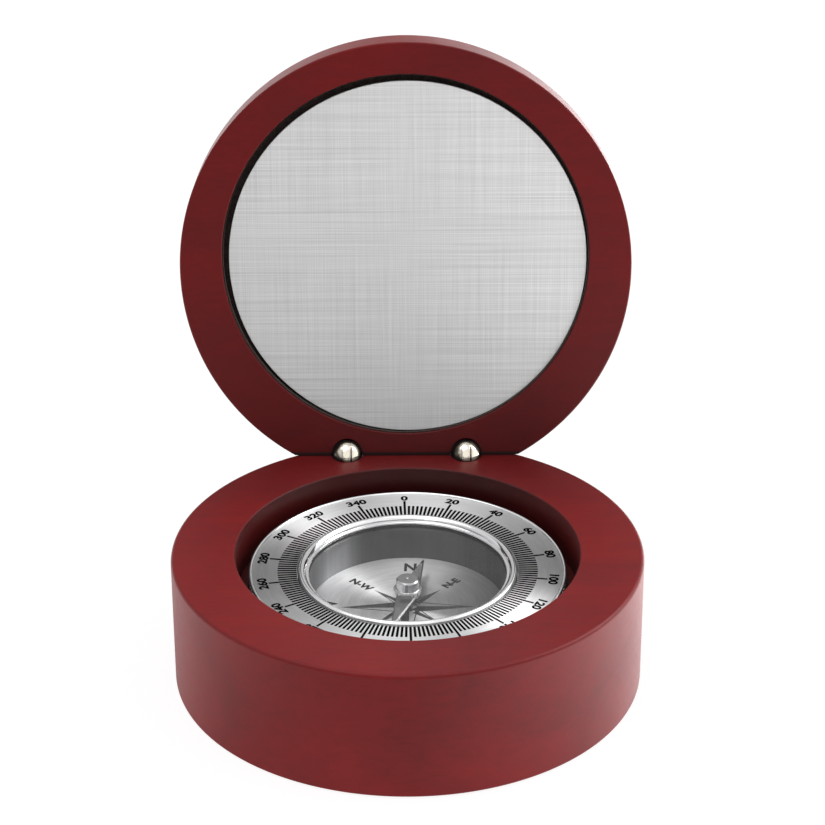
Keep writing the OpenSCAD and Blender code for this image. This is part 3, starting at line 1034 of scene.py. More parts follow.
@dataclass
class WoodCase:
    """The turned wooden case: base and lid, cut flat at the hinges."""

    radius: float = 41.0
    base_height: float = 23.5
    seam: float = 0.15
    lid_thickness: float = 9.5
    flat_y: float = 35.4
    top_ease: float = 0.7
    foot_ease: float = 0.5
    lid_ease: float = 0.3
    flat_ease: float = 0.3
    joint_ease: float = 0.34
    bore_radius: float = 29.9
    bore_floor: float = 15.2
    bore_ease: float = 0.3
    barrel_radius: float = 21.5
    barrel_floor: float = 9.2
    barrel_ease: float = 0.15
    recess_radius: float = 33.3
    recess_depth: float = 2.6
    recess_shift: float = -2.0
    recess_ease: float = 0.18
    hinge_x: float = 11.0
    hinge_y: float = 35.3
    pocket_radius: float = 3.05
    pocket_squeeze: float = 0.94
    spigot_radius: float = 1.5
    spigot_reach: float = 8.3
    spigot_slope: float = 52.0
    open_angle: float = 101.0
    sides: int = 256

    @property
    def hinge_z(self) -> float:
        """Height of the hinge axis."""
        return self.base_height

    @property
    def lid_low(self) -> float:
        """Height of the shut lid's underside."""
        return self.base_height + self.seam

    def opened(self) -> Matrix:
        """The swing from the shut lid to the open lid."""
        axis = moved(0, self.hinge_y, self.hinge_z)
        return axis @ spun(-self.open_angle) @ axis.inverted()

    def flattened(self, piece: Piece, joint_z: float) -> None:
        """Saws the flat at the hinges and eases its edges.

        Args:
            piece: The base or the shut lid.
            joint_z: Height of its joint face.
        """
        sawn(piece, (0, self.flat_y, 0), (0, 1, 0))
        bevelled(piece, self.joint_ease,
                 lambda vert: lies_at(vert.co.y, self.flat_y) and lies_at(vert.co.z, joint_z))
        bevelled(piece, self.flat_ease, lambda vert: lies_at(vert.co.y, self.flat_y)
                 and abs(vert.co.z - joint_z * MM) > 0.5 * self.joint_ease * MM)
        welded(piece)

    def hinge_tools(self, slope: float) -> list[Piece]:
        """Makes the cutters of the ball pockets and the spigot holes.

        Args:
            slope: Angle of the holes about X from upright, in degrees.

        Returns:
            Four tools.
        """
        tools = []
        for side in (-1, 1):
            centre = moved(side * self.hinge_x, self.hinge_y, self.hinge_z)
            put_down()
            bpy.ops.mesh.primitive_uv_sphere_add(segments=64, ring_count=32,
                                                 radius=self.pocket_radius * MM)
            squeezed = Matrix.Diagonal((self.pocket_squeeze, 1, 1, 1))
            tools.append(placed(bpy.context.object, centre @ squeezed))
            hole = rod(self.spigot_radius, self.spigot_reach, (0, 0, self.spigot_reach / 2))
            tools.append(placed(hole, centre @ spun(slope)))
        return tools

    def build_base(self) -> Piece:
        """Turns the base, saws its flat and cuts the hinge pockets."""
        outline = eased([
            (0, 0, 0), (self.radius, 0, self.foot_ease), (self.radius, self.base_height, self.top_ease),
            (self.bore_radius, self.base_height, self.bore_ease), (self.bore_radius, self.bore_floor, 0),
            (self.barrel_radius, self.bore_floor, self.barrel_ease),
            (self.barrel_radius, self.barrel_floor, 0), (0, self.barrel_floor, 0),
        ])
        base = turned("base_wood", outline, self.sides)
        self.flattened(base, self.base_height)
        cut(base, *self.hinge_tools(90 + self.spigot_slope))
        return smoothed(base)

    def build_lid(self) -> Piece:
        """Turns the lid, cuts its recess off centre, its flat and pockets, and swings it open."""
        low, high = self.lid_low, self.lid_low + self.lid_thickness
        lid = turned("lid_wood", eased([
            (0, low, 0), (self.radius, low, self.lid_ease), (self.radius, high, self.top_ease),
            (0, high, 0)]), self.sides)
        cut(lid, rod(self.recess_radius, 2 * self.recess_depth, (0, self.recess_shift, low),
                     sides=self.sides))

        def on_rim(vert: bmesh.types.BMVert) -> bool:
            """True on the recess's lower edge."""
            out = math.hypot(vert.co.x, vert.co.y - self.recess_shift * MM)
            return lies_at(vert.co.z, low) and abs(out - self.recess_radius * MM) < 20 * CLOSE

        bevelled(lid, self.recess_ease, on_rim)
        self.flattened(lid, low)
        cut(lid, *self.hinge_tools(90 - self.spigot_slope))
        return placed(smoothed(lid), self.opened())

    def build(self, palette: Palette) -> None:
        """Builds and dresses both halves."""
        dressed(self.build_base(), palette.wood, Body.BASE, "cherry_wood", "base_case")
        dressed(self.build_lid(), palette.wood, Body.LID, "cherry_wood", "lid_case")


@dataclass
class LidLining:
    """Felt, mounting pad and bare plate in the lid's recess."""

    case: WoodCase
    felt_radius: float = 33.26
    felt_thickness: float = 0.7
    felt_wall: float = 0.16
    felt_lip: float = 0.32
    felt_ease: float = 0.05
    lip_ease: float = 0.03
    pad_radius: float = 32.47
    pad_thickness: float = 0.5
    pad_ease: float = 0.1
    pad_ragged: float = 0.09
    pad_sides: int = 720
    plate_radius: float = 32.45
    plate_thickness: float = 0.6
    plate_ease: float = 0.12
    plate_x: float = 0.36
    plate_y: float = 0.45

    def disc(self, name: str, radius: float, low: float, high: float, ease: float,
             sides: int = 256) -> Piece:
        """Turns a thin disc with an eased edge, round the plate's centre in the shut lid.

        Args:
            name: Name of the piece.
            radius: Its radius.
            low: Height of its underside.
            high: Height of its upper face.
            ease: Radius of its edges.
            sides: Faces round it.

        Returns:
            The piece, not yet swung open.
        """
        piece = turned(name, eased([
            (0, low, 0), (radius, low, ease), (radius, high, ease), (0, high, 0)], 3), sides)
        return placed(piece, moved(self.plate_x, self.plate_y + self.case.recess_shift, 0))

    def build_felt(self, floor: float, low: float) -> Piece:
        """Turns the felt, with a wall up the side of the recess."""
        inner, lip = self.felt_radius - self.felt_wall, self.case.lid_low + self.felt_lip
        felt = turned("lid_felt_lining", eased([
            (0, low, 0), (inner, low, self.felt_ease), (inner, lip, self.lip_ease),
            (self.felt_radius, lip, self.lip_ease), (self.felt_radius, floor, self.felt_ease),
            (0, floor, 0)], 3), 384)
        return placed(smoothed(felt), self.case.opened() @ moved(0, self.case.recess_shift, 0))

    def build_pad(self, low: float, high: float) -> Piece:
        """Turns the pad and makes its rim ragged."""
        pad = self.disc("foam_pad", self.pad_radius, low, high, self.pad_ease, self.pad_sides)
        open_up(pad)
        middle = Vector((self.plate_x, self.plate_y + self.case.recess_shift)) * MM
        rim = (self.pad_radius - 1.5 * self.pad_ease) * MM
        choose(pad, Pick.VERTS, lambda vert: (vert.co.xy - middle).length > rim)
        bpy.ops.transform.vertex_random(offset=self.pad_ragged * MM, uniform=0.2, normal=0.0, seed=11)
        put_down()
        return placed(smoothed(pad), self.case.opened())

    def build(self, palette: Palette) -> None:
        """Builds and dresses the three layers, from the floor of the recess down."""
        floor = self.case.lid_low + self.case.recess_depth
        felt_low = floor - self.felt_thickness
        pad_low = felt_low - self.pad_thickness
        dressed(self.build_felt(floor, felt_low), palette.felt, Body.LID, "dark_felt", "lid_felt")
        dressed(self.build_pad(pad_low, felt_low), palette.foam, Body.LID, "black_foam", "plate_pad")
        plate = self.disc("bare_plate", self.plate_radius, pad_low - self.plate_thickness, pad_low,
                          self.plate_ease)
        dressed(placed(smoothed(plate), self.case.opened()), palette.plate, Body.LID,
                "brushed_plate", "engraving_plate")


@dataclass
class BallHinges:
    """Two ball hinges: forks in the base, tongues in the lid, and their cross pins."""

    case: WoodCase
    ball: float = 2.9
    tongue_width: float = 1.5
    slot_play: float = 0.16
    snug_play: float = 0.03
    mouth: float = 1.5
    drift: float = -0.09
    seam_ease: float = 0.02
    collar: float = 2.95
    collar_ease: float = 0.06
    neck_sunk: float = 0.7
    tongue_neck: float = 0.7
    web_half: float = 1.2
    web_low: float = 0.8
    web_sunk: float = 0.2
    lug_reach: float = 3.05
    lug_width: float = 0.85
    lug_front: float = 0.5
    lug_play: float = 0.04
    stop_play: float = 0.4
    spigot_end: float = 8.0
    spigot_tip: float = 0.5
    spigot_radius: float = 1.5
    rib_bite: float = 0.08
    rib_depth: float = 0.22
    rib_pitch: float = 1.0
    rib_rise: float = 0.02
    rib_share: float = 0.7
    pin_radius: float = 0.6
    pin_half: float = 2.5
    pin_ease: float = 0.2
    pin_snug: float = -0.01
    pin_play: float = 0.05
    tool_reach: float = 4.0

    def spigot(self, neck_radius: float) -> Piece:
        """Turns a ribbed spigot along +Z from the ball's middle."""
        core, rib = self.spigot_radius - self.rib_depth, self.spigot_radius + self.rib_bite
        root, shoulder = self.ball - self.neck_sunk, self.collar + self.rib_pitch
        points: list[Corner] = [
            (0, root, 0), (neck_radius, root, 0), (neck_radius, self.collar, 0),
            (self.spigot_radius, self.collar, self.collar_ease),
            (self.spigot_radius, shoulder, self.collar_ease), (core, shoulder, 0),
        ]
        along = shoulder + 0.5 * self.rib_pitch
        while along < self.spigot_end - self.rib_pitch:
            points += [(core, along, 0), (rib, along + self.rib_rise, 0),
                       (core, along + self.rib_share * self.rib_pitch, 0)]
            along += self.rib_pitch
        points += [(core, self.spigot_end - self.spigot_tip, 0),
                   (core - self.spigot_tip, self.spigot_end, 0), (0, self.spigot_end, 0)]
        return turned("spigot", eased(points, 2), 48)

    def knuckle(self) -> Piece:
        """Starts a knuckle from a ball with its poles on the hinge axis."""
        put_down()
        bpy.ops.mesh.primitive_uv_sphere_add(segments=72, ring_count=48, radius=self.ball * MM)
        return placed(bpy.context.object, spun(90, "Y"))

    def pin_bore(self, play: float) -> Piece:
        """Makes the cutter of the cross pin's bore."""
        return rod(self.pin_radius + play, 2 * self.tool_reach, crosswise=True)

    def slot(self, name: str, left: float, right: float, back: float, top: float) -> Piece:
        """Makes a cutter of the fork's slot that is open at the front and below."""
        return block(name, (left, -self.tool_reach, -self.tool_reach), (right, back, top))

    def fork(self) -> Piece:
        """Makes the half with two cheeks, whose slot is widened at the front."""
        ball = self.knuckle()
        half = self.tongue_width / 2 + self.slot_play
        snug = self.tongue_width / 2 + self.snug_play
        far = self.tool_reach
        cut(ball, self.slot("slot", self.drift - snug, self.drift + snug, far, far))
        cut(ball, self.slot("slot_mouth", -half, half, -self.mouth, far))
        bevelled(ball, self.seam_ease, lambda vert: lies_at(abs(vert.co.x), half))
        cut(ball, self.pin_bore(self.pin_snug))
        into_wood = spun(90 + self.case.spigot_slope)
        stem = placed(self.spigot(self.spigot_radius - self.collar_ease), into_wood)
        cut(stem, placed(self.slot("slot", -half, half, far, self.collar), into_wood))
        return smoothed(joined("fork", ball, stem))

    def stop_lug(self) -> Piece:
        """Makes the lug that meets the fork's collar when the lid is open, for the shut lid."""
        width = self.tongue_width - self.lug_play
        lug = placed(rod(self.lug_reach, width, crosswise=True, sides=96), Matrix.Identity(4))
        sawn(lug, (0, self.lug_front, 0), (0, -1, 0))
        sawn(lug, (0, 0, 0), (0, 0, -1))
        sawn(lug, (0, 0, self.lug_width), (0, 0, 1))
        collar_face = 180 + self.case.spigot_slope + math.degrees(math.acos(self.collar / self.lug_reach))
        return placed(lug, spun(collar_face + self.stop_play + self.case.open_angle))

    def tongue(self) -> Piece:
        """Makes the half with the middle knuckle, for the shut lid."""
        ball = self.knuckle()
        half = self.tongue_width / 2
        for side in (-1, 1):
            sawn(ball, (side * half, 0, 0), (side, 0, 0))
        bevelled(ball, self.seam_ease, lambda vert: lies_at(abs(vert.co.x), half))
        thin = half - self.lug_play / 2
        web = block("web", (-thin, -self.web_half, self.web_low),
                    (thin, self.web_half, self.collar + self.web_sunk))
        stem = placed(joined("stem", self.spigot(self.tongue_neck), web),
                      spun(90 - self.case.spigot_slope))
        tongue = joined("tongue", ball, stem, self.stop_lug())
        cut(tongue, self.pin_bore(self.pin_play))
        return smoothed(tongue)

    def pin(self) -> Piece:
        """Turns the cross pin with domed ends."""
        r, end, ease = self.pin_radius, self.pin_half, self.pin_ease
        outline = eased([(0, -end, 0), (r, -end, ease), (r, end, ease), (0, end, 0)], 4)
        return smoothed(placed(turned("pin", outline, 48), spun(90, "Y")))

    def build(self, palette: Palette) -> None:
        """Builds and dresses both hinges."""
        for side, word in ((-1, "left"), (1, "right")):
            seat = moved(side * self.case.hinge_x, self.case.hinge_y, self.case.hinge_z)
            fork = placed(joined(f"hinge_ball_{word}", self.fork()), seat)
            dressed(fork, palette.nickel, Body.BASE, "nickel", f"hinge_fork_{word}")
            swung = moved(self.drift, 0, 0) @ self.case.opened() @ seat
            tongue = placed(joined(f"hinge_knuckle_{word}", self.tongue()), swung)
            dressed(tongue, palette.nickel, Body.LID, "nickel", f"hinge_tongue_{word}")
            pin = placed(joined(f"cross_pin_{word}", self.pin()), seat)
            dressed(pin, palette.steel, Body.BASE, "steel", f"hinge_pin_{word}")


@dataclass
class TurningBezel:
    """The chrome bezel with its milled edge, and the degree ring with its scale.

    The drum's corner is given by points in from its side and from its end, and the flutes by the
    depths round one of them.
    """

    bore: float = 19.15
    seat: float = 18.7
    low: float = 16.7
    skirt: float = 27.3
    foot: float = 15.4
    foot_chamfer: Point = (0.1, 0.15)
    groove_low: float = 15.6
    groove_high: float = 16.2
    groove_depth: float = 0.15
    ring_radius: float = 27.0
    ring_bore: float = 19.3
    ring_face: float = 19.6
    ring_ease_out: float = 0.03
    ring_ease_in: float = 0.06
    crest: float = 0.35
    crest_fall: float = 0.16
    top: float = 19.95
    neck: float = 27.55
    neck_step: float = 0.04
    drum: float = 27.85
    drum_top: float = 19.3
    drum_corner: tuple[Point, ...] = ((0.24, 0.0), (0.1, 0.03), (0.0, 0.14))
    flutes: int = 160
    flute_steps: tuple[float, ...] = (0.0, 0.03, 0.13, 0.22, 0.13, 0.03)
    flute_band: float = 0.12
    tick_low: float = 19.33
    tick_high: float = 22.65
    long_tick_high: float = 24.45
    long_tick_proud: float = 0.002
    tick_width: float = 0.43
    ticks: int = 180
    long_every: int = 10
    figure_radius: float = 25.52
    figure: Typeface = Typeface(1.6, 0.1, 1.13)
    figure_step: int = 20
    print_turn: float = -1.1

    def build_bezel(self) -> Piece:
        """Turns the bezel and mills its edge."""
        crest_z = self.top - self.crest
        lip = arc((self.ring_radius + self.crest, crest_z), self.crest, range(180, -21, -20))
        groove = self.skirt + self.groove_depth
        chamfer_out, chamfer_up = self.foot_chamfer
        upper = [(self.drum - back, self.drum_top - down) for back, down in self.drum_corner]
        lower = [(self.drum - back, self.foot + up) for back, up in reversed(self.drum_corner)]
        outline = [
            (self.skirt, self.foot + chamfer_up), (self.skirt, self.groove_low),
            (groove, self.groove_low), (groove, self.groove_high), (self.skirt, self.groove_high),
            (self.skirt, self.low), (self.bore, self.low), (self.bore, self.seat),
            (self.ring_radius, self.seat), *lip, (self.neck, crest_z - self.crest_fall),
            (self.neck, self.drum_top), (self.neck + self.neck_step, self.drum_top), *upper, *lower,
            (self.skirt + chamfer_out, self.foot),
        ]
        steps = len(self.flute_steps)
        bezel = turned("milled_bezel", outline, self.flutes * steps, ring=True)
        edge = (self.drum - self.flute_band) * MM
        open_up(bezel)
        for k, depth in enumerate(self.flute_steps):
            if depth == 0:
                continue
            choose(bezel, Pick.VERTS, lambda vert: vert.co.xy.length > edge
                   and round(math.atan2(vert.co.y, vert.co.x) / math.tau * self.flutes * steps) % steps == k)
            scale = 1 - depth / self.drum
            bpy.ops.transform.resize(value=(scale, scale, 1), center_override=(0, 0, 0))
        put_down()
        return smoothed(bezel, 40)

    def build_scale(self) -> Piece:
        """Prints the degree marks: bars in foil, spun round the ring."""
        half, low = self.tick_width / 2, self.ring_face - FOIL / 2
        bars = []
        for high, count, thick in (
                (self.tick_high, self.ticks, FOIL),
                (self.long_tick_high, self.ticks // self.long_every, FOIL + self.long_tick_proud)):
            corners = [(-half, self.tick_low), (half, self.tick_low), (half, high), (-half, high)]
            bar = flat_shape("bar", corners, low, thick)
            open_up(bar)
            bpy.ops.mesh.spin(steps=count, dupli=True, angle=math.tau, center=(0, 0, 0), axis=(0, 0, 1))
            bpy.ops.mesh.select_all(action="SELECT")
            bpy.ops.mesh.remove_doubles(threshold=MERGE)
            put_down()
            bars.append(bar)
        return placed(joined("degree_marks", *bars), bearing(self.print_turn))

    def build_figures(self) -> Piece:
        """Prints the degree figures, with their feet towards the centre."""
        out = moved(0, self.figure_radius, 0)
        return joined("degree_figures", *(
            lettering(str(degrees), self.figure, self.ring_face, bearing(degrees + self.print_turn) @ out)
            for degrees in range(0, 360, self.figure_step)))

    def build(self, palette: Palette) -> None:
        """Builds and dresses the bezel, the ring and its print."""
        dressed(self.build_bezel(), palette.chrome, Body.BEZEL, "chrome", "turning_bezel")
        ring = turned("brushed_degree_ring", eased([
            (self.ring_bore, self.seat, 0), (self.ring_radius, self.seat, 0),
            (self.ring_radius, self.ring_face, self.ring_ease_out),
            (self.ring_bore, self.ring_face, self.ring_ease_in)], 3), 240, ring=True)
        dressed(smoothed(ring), palette.ring, Body.BEZEL, "silver_dial", "degree_ring")
        dressed(self.build_scale(), palette.ink, Body.BEZEL)
        dressed(self.build_figures(), palette.ink, Body.BEZEL)


@dataclass(frozen=True)
class RoseArm:
    """One arm of the rose, which is copied to each quarter from its first bearing on.

    The root is how far out its shoulders are, and the spread is their half angle in degrees.
    """

    first: float
    tip: float
    root: float
    spread: float
    start_at: float


@dataclass
class Capsule:
    """What stands still in the compass: glass ring, lens, gasket, sleeve, dial and pivot post.

    The cove is the sloped inner face of the glass ring, given from the well and the lens. The post
    is given by its corners from its foot up.
    """

    ring_outer: float = 19.05
    skirt_bore: float = 18.70
    skirt_low: float = 17.2
    crest: float = 0.6
    ring_top: float = 20.1
    crest_foot: Point = (0.45, 0.4)
    cove: tuple[Corner, ...] = ((0.55, 0.72, 0.03), (0.55, 0.36, 0.03), (0.02, 0.34, 0.16), (0, 0, 0))
    well: float = 17.2
    seat_radius: float = 18.25
    lens_low: float = 17.9
    lens_top: float = 18.9
    lens_play: float = 0.05
    lens_ground: float = 0.15
    gasket_low: float = 17.6
    gasket_set_back: float = 0.1
    sleeve_ease: float = 0.08
    dial_top: float = 11.3
    dial_low: float = 10.8
    post_radius: float = 1.0
    post: tuple[Corner, ...] = (
        (0, 9.8, 0), (1.0, 9.8, 0.05), (1.0, 11.3, 0), (1.6, 11.3, 0), (1.6, 11.7, 0.08),
        (0.7, 11.9, 0.1), (0.7, 13.2, 0.1), (0.3, 13.2, 0), (0.3, 12.2, 0), (0, 12.2, 0))
    long_arm: RoseArm = RoseArm(first=0, tip=11.75, root=2.35, spread=45, start_at=0.0)
    short_arm: RoseArm = RoseArm(first=45, tip=8.3, root=2.2, spread=22.5, start_at=2.0)
    outline_width: float = 0.2
    letter: Typeface = Typeface(2.7, 0.14, 0.85)
    letter_radius: float = 13.8
    letter_turn: float = 2.2
    pair: Typeface = Typeface(1.5, 0.1, 1.1)
    pair_radius: float = 11.25
    pair_turn: float = -1.5

    def build_glass_ring(self) -> Piece:
        """Turns the chrome ring over the lens: a round crest and a sloped inner face."""
        crest_r, crest_z = self.ring_outer - self.crest, self.ring_top - self.crest
        back, up = self.crest_foot
        cove = [(self.well + out, self.lens_top + rise, ease) for out, rise, ease in self.cove]
        inner = eased([(crest_r - back, crest_z + up, 0), *cove, (self.skirt_bore, self.lens_top, 0)], 3)
        outline = [
            (self.skirt_bore, self.skirt_low), (self.ring_outer, self.skirt_low),
            *arc((crest_r, crest_z), self.crest, range(0, 139, 12)), *inner[1:],
        ]
        return smoothed(turned("polished_glass_ring", outline, 256, ring=True), 40)

    def build_lens(self) -> Piece:
        """Turns the lens with its ground edge."""
        r, ground = self.seat_radius - self.lens_play, self.lens_ground
        return smoothed(turned("flat_lens", [
            (0, self.lens_low), (r, self.lens_low), (r, self.lens_top - ground),
            (r - ground, self.lens_top), (0, self.lens_top)]), 25)

    def band(self, name: str, inner: float, low: float, high: float, ease: float = 0.04) -> Piece:
        """Turns a plain ring out to the seat, with lightly eased edges."""
        outer = self.seat_radius
        return smoothed(turned(name, eased([
            (inner, low, ease), (outer, low, ease), (outer, high, ease), (inner, high, ease)], 2),
            240, ring=True))

    def print_arm(self, arm: RoseArm) -> Piece:
        """Prints one arm of the rose towards the back: one side filled, the other outlined.

        Args:
            arm: The arm's sizes.

        Returns:
            The arm.
        """
        angle = math.radians(arm.spread)
        x, y = arm.root * math.sin(angle), arm.root * math.cos(angle)
        low = self.dial_top - FOIL / 2
        dark = flat_shape("dark", [(0, arm.start_at), (x, y), (0, arm.tip)], low, FOIL)
        light = flat_shape("light", [(0, arm.start_at), (0, arm.tip), (-x, y)], low, FOIL)
        open_up(light)
        choose(light, Pick.FACES, lambda vert: True)
        shape = bmesh.from_edit_mesh(light.data)
        for face in shape.faces:
            face.select_set(abs(face.normal.z) > 0.9)
        bmesh.update_edit_mesh(light.data)
        bpy.ops.mesh.inset(thickness=self.outline_width * MM)
        bpy.ops.mesh.bridge_edge_loops()
        put_down()
        return joined("arm", dark, light)

    def build_rose(self) -> Piece:
        """Prints the eight-pointed rose: one long arm and one short arm, each copied round."""
        arms = []
        for arm in (self.long_arm, self.short_arm):
            pattern = self.print_arm(arm)
            for quarter in range(4):
                pick_up(pattern)
                bpy.ops.object.duplicate(linked=False)
                arms.append(placed(bpy.context.object, bearing(arm.first + 90 * quarter)))
            bpy.data.objects.remove(pattern)
        return joined("dial_rose", *arms)

    def build_letters(self) -> Piece:
        """Prints the letters of the eight points."""
        words = []
        for quarter, letter in enumerate("NESW"):
            place = bearing(90 * quarter + self.letter_turn) @ moved(0, self.letter_radius, 0)
            words.append(lettering(letter, self.letter, self.dial_top, place))
        for quarter, pair in enumerate(("N-E", "S-E", "S-W", "N-W")):
            place = bearing(45 + 90 * quarter + self.pair_turn) @ moved(0, self.pair_radius, 0)
            along = spun(90 if quarter < 2 else -90, "Z")
            words.append(lettering(pair, self.pair, self.dial_top, place @ along))
        return joined("dial_letters", *words)

    def build(self, palette: Palette) -> None:
        """Builds and dresses the fixed parts of the compass."""
        dressed(self.build_glass_ring(), palette.chrome, Body.BASE, "chrome", "glass_ring")
        dressed(self.build_lens(), palette.glass, Body.BASE, "lens_glass", "lens")
        gasket = self.band("black_gasket", self.well + self.gasket_set_back, self.gasket_low, self.lens_low)
        dressed(gasket, palette.rubber, Body.BASE, "black_rubber", "lens_gasket")
        sleeve = self.band("well_wall", self.well, self.dial_top, self.gasket_low, self.sleeve_ease)
        dressed(sleeve, palette.sleeve, Body.BASE, "grey_sleeve", "well_sleeve")
        dial = self.band("brushed_dial", self.post_radius, self.dial_low, self.dial_top)
        dressed(dial, palette.dial, Body.BASE, "silver_dial", "dial")
        dressed(self.build_rose(), palette.grey_ink, Body.BASE)
        dressed(self.build_letters(), palette.ink, Body.BASE)
        post = turned("plated_post", eased(self.post, 2), 64)
        # The post takes the sleeve's finish, whose painted shade makes it dark.
        dressed(smoothed(post), palette.sleeve, Body.BASE, "nickel", "pivot_post")


@dataclass
class Needle:
    """The needle: a rhombus blade with ground edges under a turned cap."""

    bearing: float = 14.0
    reach: float = 11.8
    tip: float = 0.17
    width: float = 3.9
    low: float = 13.9
    thickness: float = 0.4
    edge: float = 0.22
    edge_fall: float = 0.16
    neck: float = 1.2
    neck_tool: float = 4.0
    neck_low: float = 13.7
    socket: float = 0.8
    socket_top: float = 16.7
    cap_radius: float = 2.03
    cap_top: float = 17.1
    cap_rim: float = 0.28
    mark: Point = (0.26, 0.12)
    eye: float = 0.02
    hub: float = 2.3
    flange: float = 2.5
    flange_low: float = 15.0
    flange_high: float = 15.14
    fillet: Point = (0.12, 0.04)
    waist: float = 15.26

    def build_blade(self) -> Piece:
        """Cuts the blade, grinds its upper edges and bores it for the cap's neck."""
        half, slab = self.width / 2, self.thickness - self.edge_fall
        blade = flat_shape("polished_blade", [
            (self.tip, self.reach), (-self.tip, self.reach), (-half, 0),
            (-self.tip, -self.reach), (self.tip, -self.reach), (half, 0)], self.low, slab)
        top = self.low + self.thickness
        open_up(blade)
        choose(blade, Pick.FACES, lambda vert: lies_at(vert.co.z, self.low + slab))
        bpy.ops.mesh.extrude_region_move(TRANSFORM_OT_translate={"value": (0, 0, self.edge_fall * MM)})
        shrink = 1 - self.edge / half
        bpy.ops.transform.resize(value=(shrink, shrink, 1), center_override=(0, 0, top * MM))
        cut(blade, rod(self.neck, self.neck_tool, (0, 0, top)))
        pick_up(blade)
        bpy.ops.object.shade_flat()
        return placed(blade, bearing(self.bearing))

    def build_cap(self) -> Piece:
        """Turns the cap with its flange, bevelled rim and centre mark."""
        top, shelf = self.cap_top, self.low + self.thickness
        mark_radius, mark_depth = self.mark
        fillet_out, fillet_up = self.fillet
        return smoothed(turned("turned_cap", eased([
            (self.socket, self.neck_low, 0), (self.neck, self.neck_low, 0), (self.neck, shelf, 0),
            (self.hub, shelf, 0.03), (self.hub, self.flange_low, 0.02),
            (self.flange, self.flange_low, 0.05), (self.flange, self.flange_high, 0.06),
            (self.cap_radius + fillet_out, self.flange_high + fillet_up, 0.03),
            (self.cap_radius, self.waist, 0.03), (self.cap_radius, top - self.cap_rim, 0.05),
            (self.cap_radius - self.cap_rim, top, 0.05), (mark_radius, top, 0.02),
            (self.eye, top - mark_depth, 0), (self.eye, self.socket_top, 0),
            (self.socket, self.socket_top, 0)], 3), 128, ring=True), 25)

    def build(self, palette: Palette) -> None:
        """Builds and dresses the blade and the cap."""
        dressed(self.build_blade(), palette.blade, Body.NEEDLE, "polished_steel", "compass_needle")
        dressed(self.build_cap(), palette.cap, Body.NEEDLE, "chrome", "needle_cap")


class InnerWorks:
    """Sealed pieces that keep their solids and only get a finish."""

    @staticmethod
    def build(palette: Palette) -> None:
        """Dresses the hidden solids."""
        finishes = {
            "capsule_body": palette.alloy, "grip_ring": palette.rubber, "bezel_snap_wire": palette.steel,
            "pivot_pin": palette.steel, "cap_jewel": palette.jewel,
        }
        for node, finish in finishes.items():
            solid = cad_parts[node]
            solid.data.materials.clear()
            solid.data.materials.append(finish)
            log.info("%s keeps its solid", node)


# The studio: camera, background, floor and lamps


@dataclass
class Camera:
    """The camera, where the photograph's was: lengths in millimetres, angles in degrees."""

    focal_px: float = 2773.0
    distance: float = 482.5
    elevation: float = 26.92
    roll: float = 0.16
    yaw: float = 0.29
    shift_x: float = -0.92
    shift_z: float = -26.85
    target_z: float = 20.0
    image: int = 825
    sensor: float = 36.0
    clip: tuple[float, float] = (10.0, 10000.0)

    def build(self) -> None:
        """Sets up the camera."""
        e, roll = math.radians(self.elevation), math.radians(self.roll)
        forward = Vector((0, math.cos(e), -math.sin(e)))
        up0, right0 = Vector((0, math.sin(e), math.cos(e))), Vector((1, 0, 0))
        target = Vector((0, 0, self.target_z))
        spot = (target - right0 * self.shift_x - up0 * self.shift_z - forward * self.distance) * MM
        right = right0 * math.cos(roll) - up0 * math.sin(roll)
        up = right0 * math.sin(roll) + up0 * math.cos(roll)
        pose = Matrix((right, up, -forward)).transposed().to_4x4()
        pose.translation = spot
        put_down()
        bpy.ops.object.camera_add()
        camera = bpy.context.object
        camera.matrix_world = spun(-self.yaw, "Z") @ pose
        camera.data.sensor_width = self.sensor
        camera.data.lens = self.focal_px / self.image * self.sensor
        camera.data.clip_start, camera.data.clip_end = (end * MM for end in self.clip)
        bpy.context.scene.camera = camera


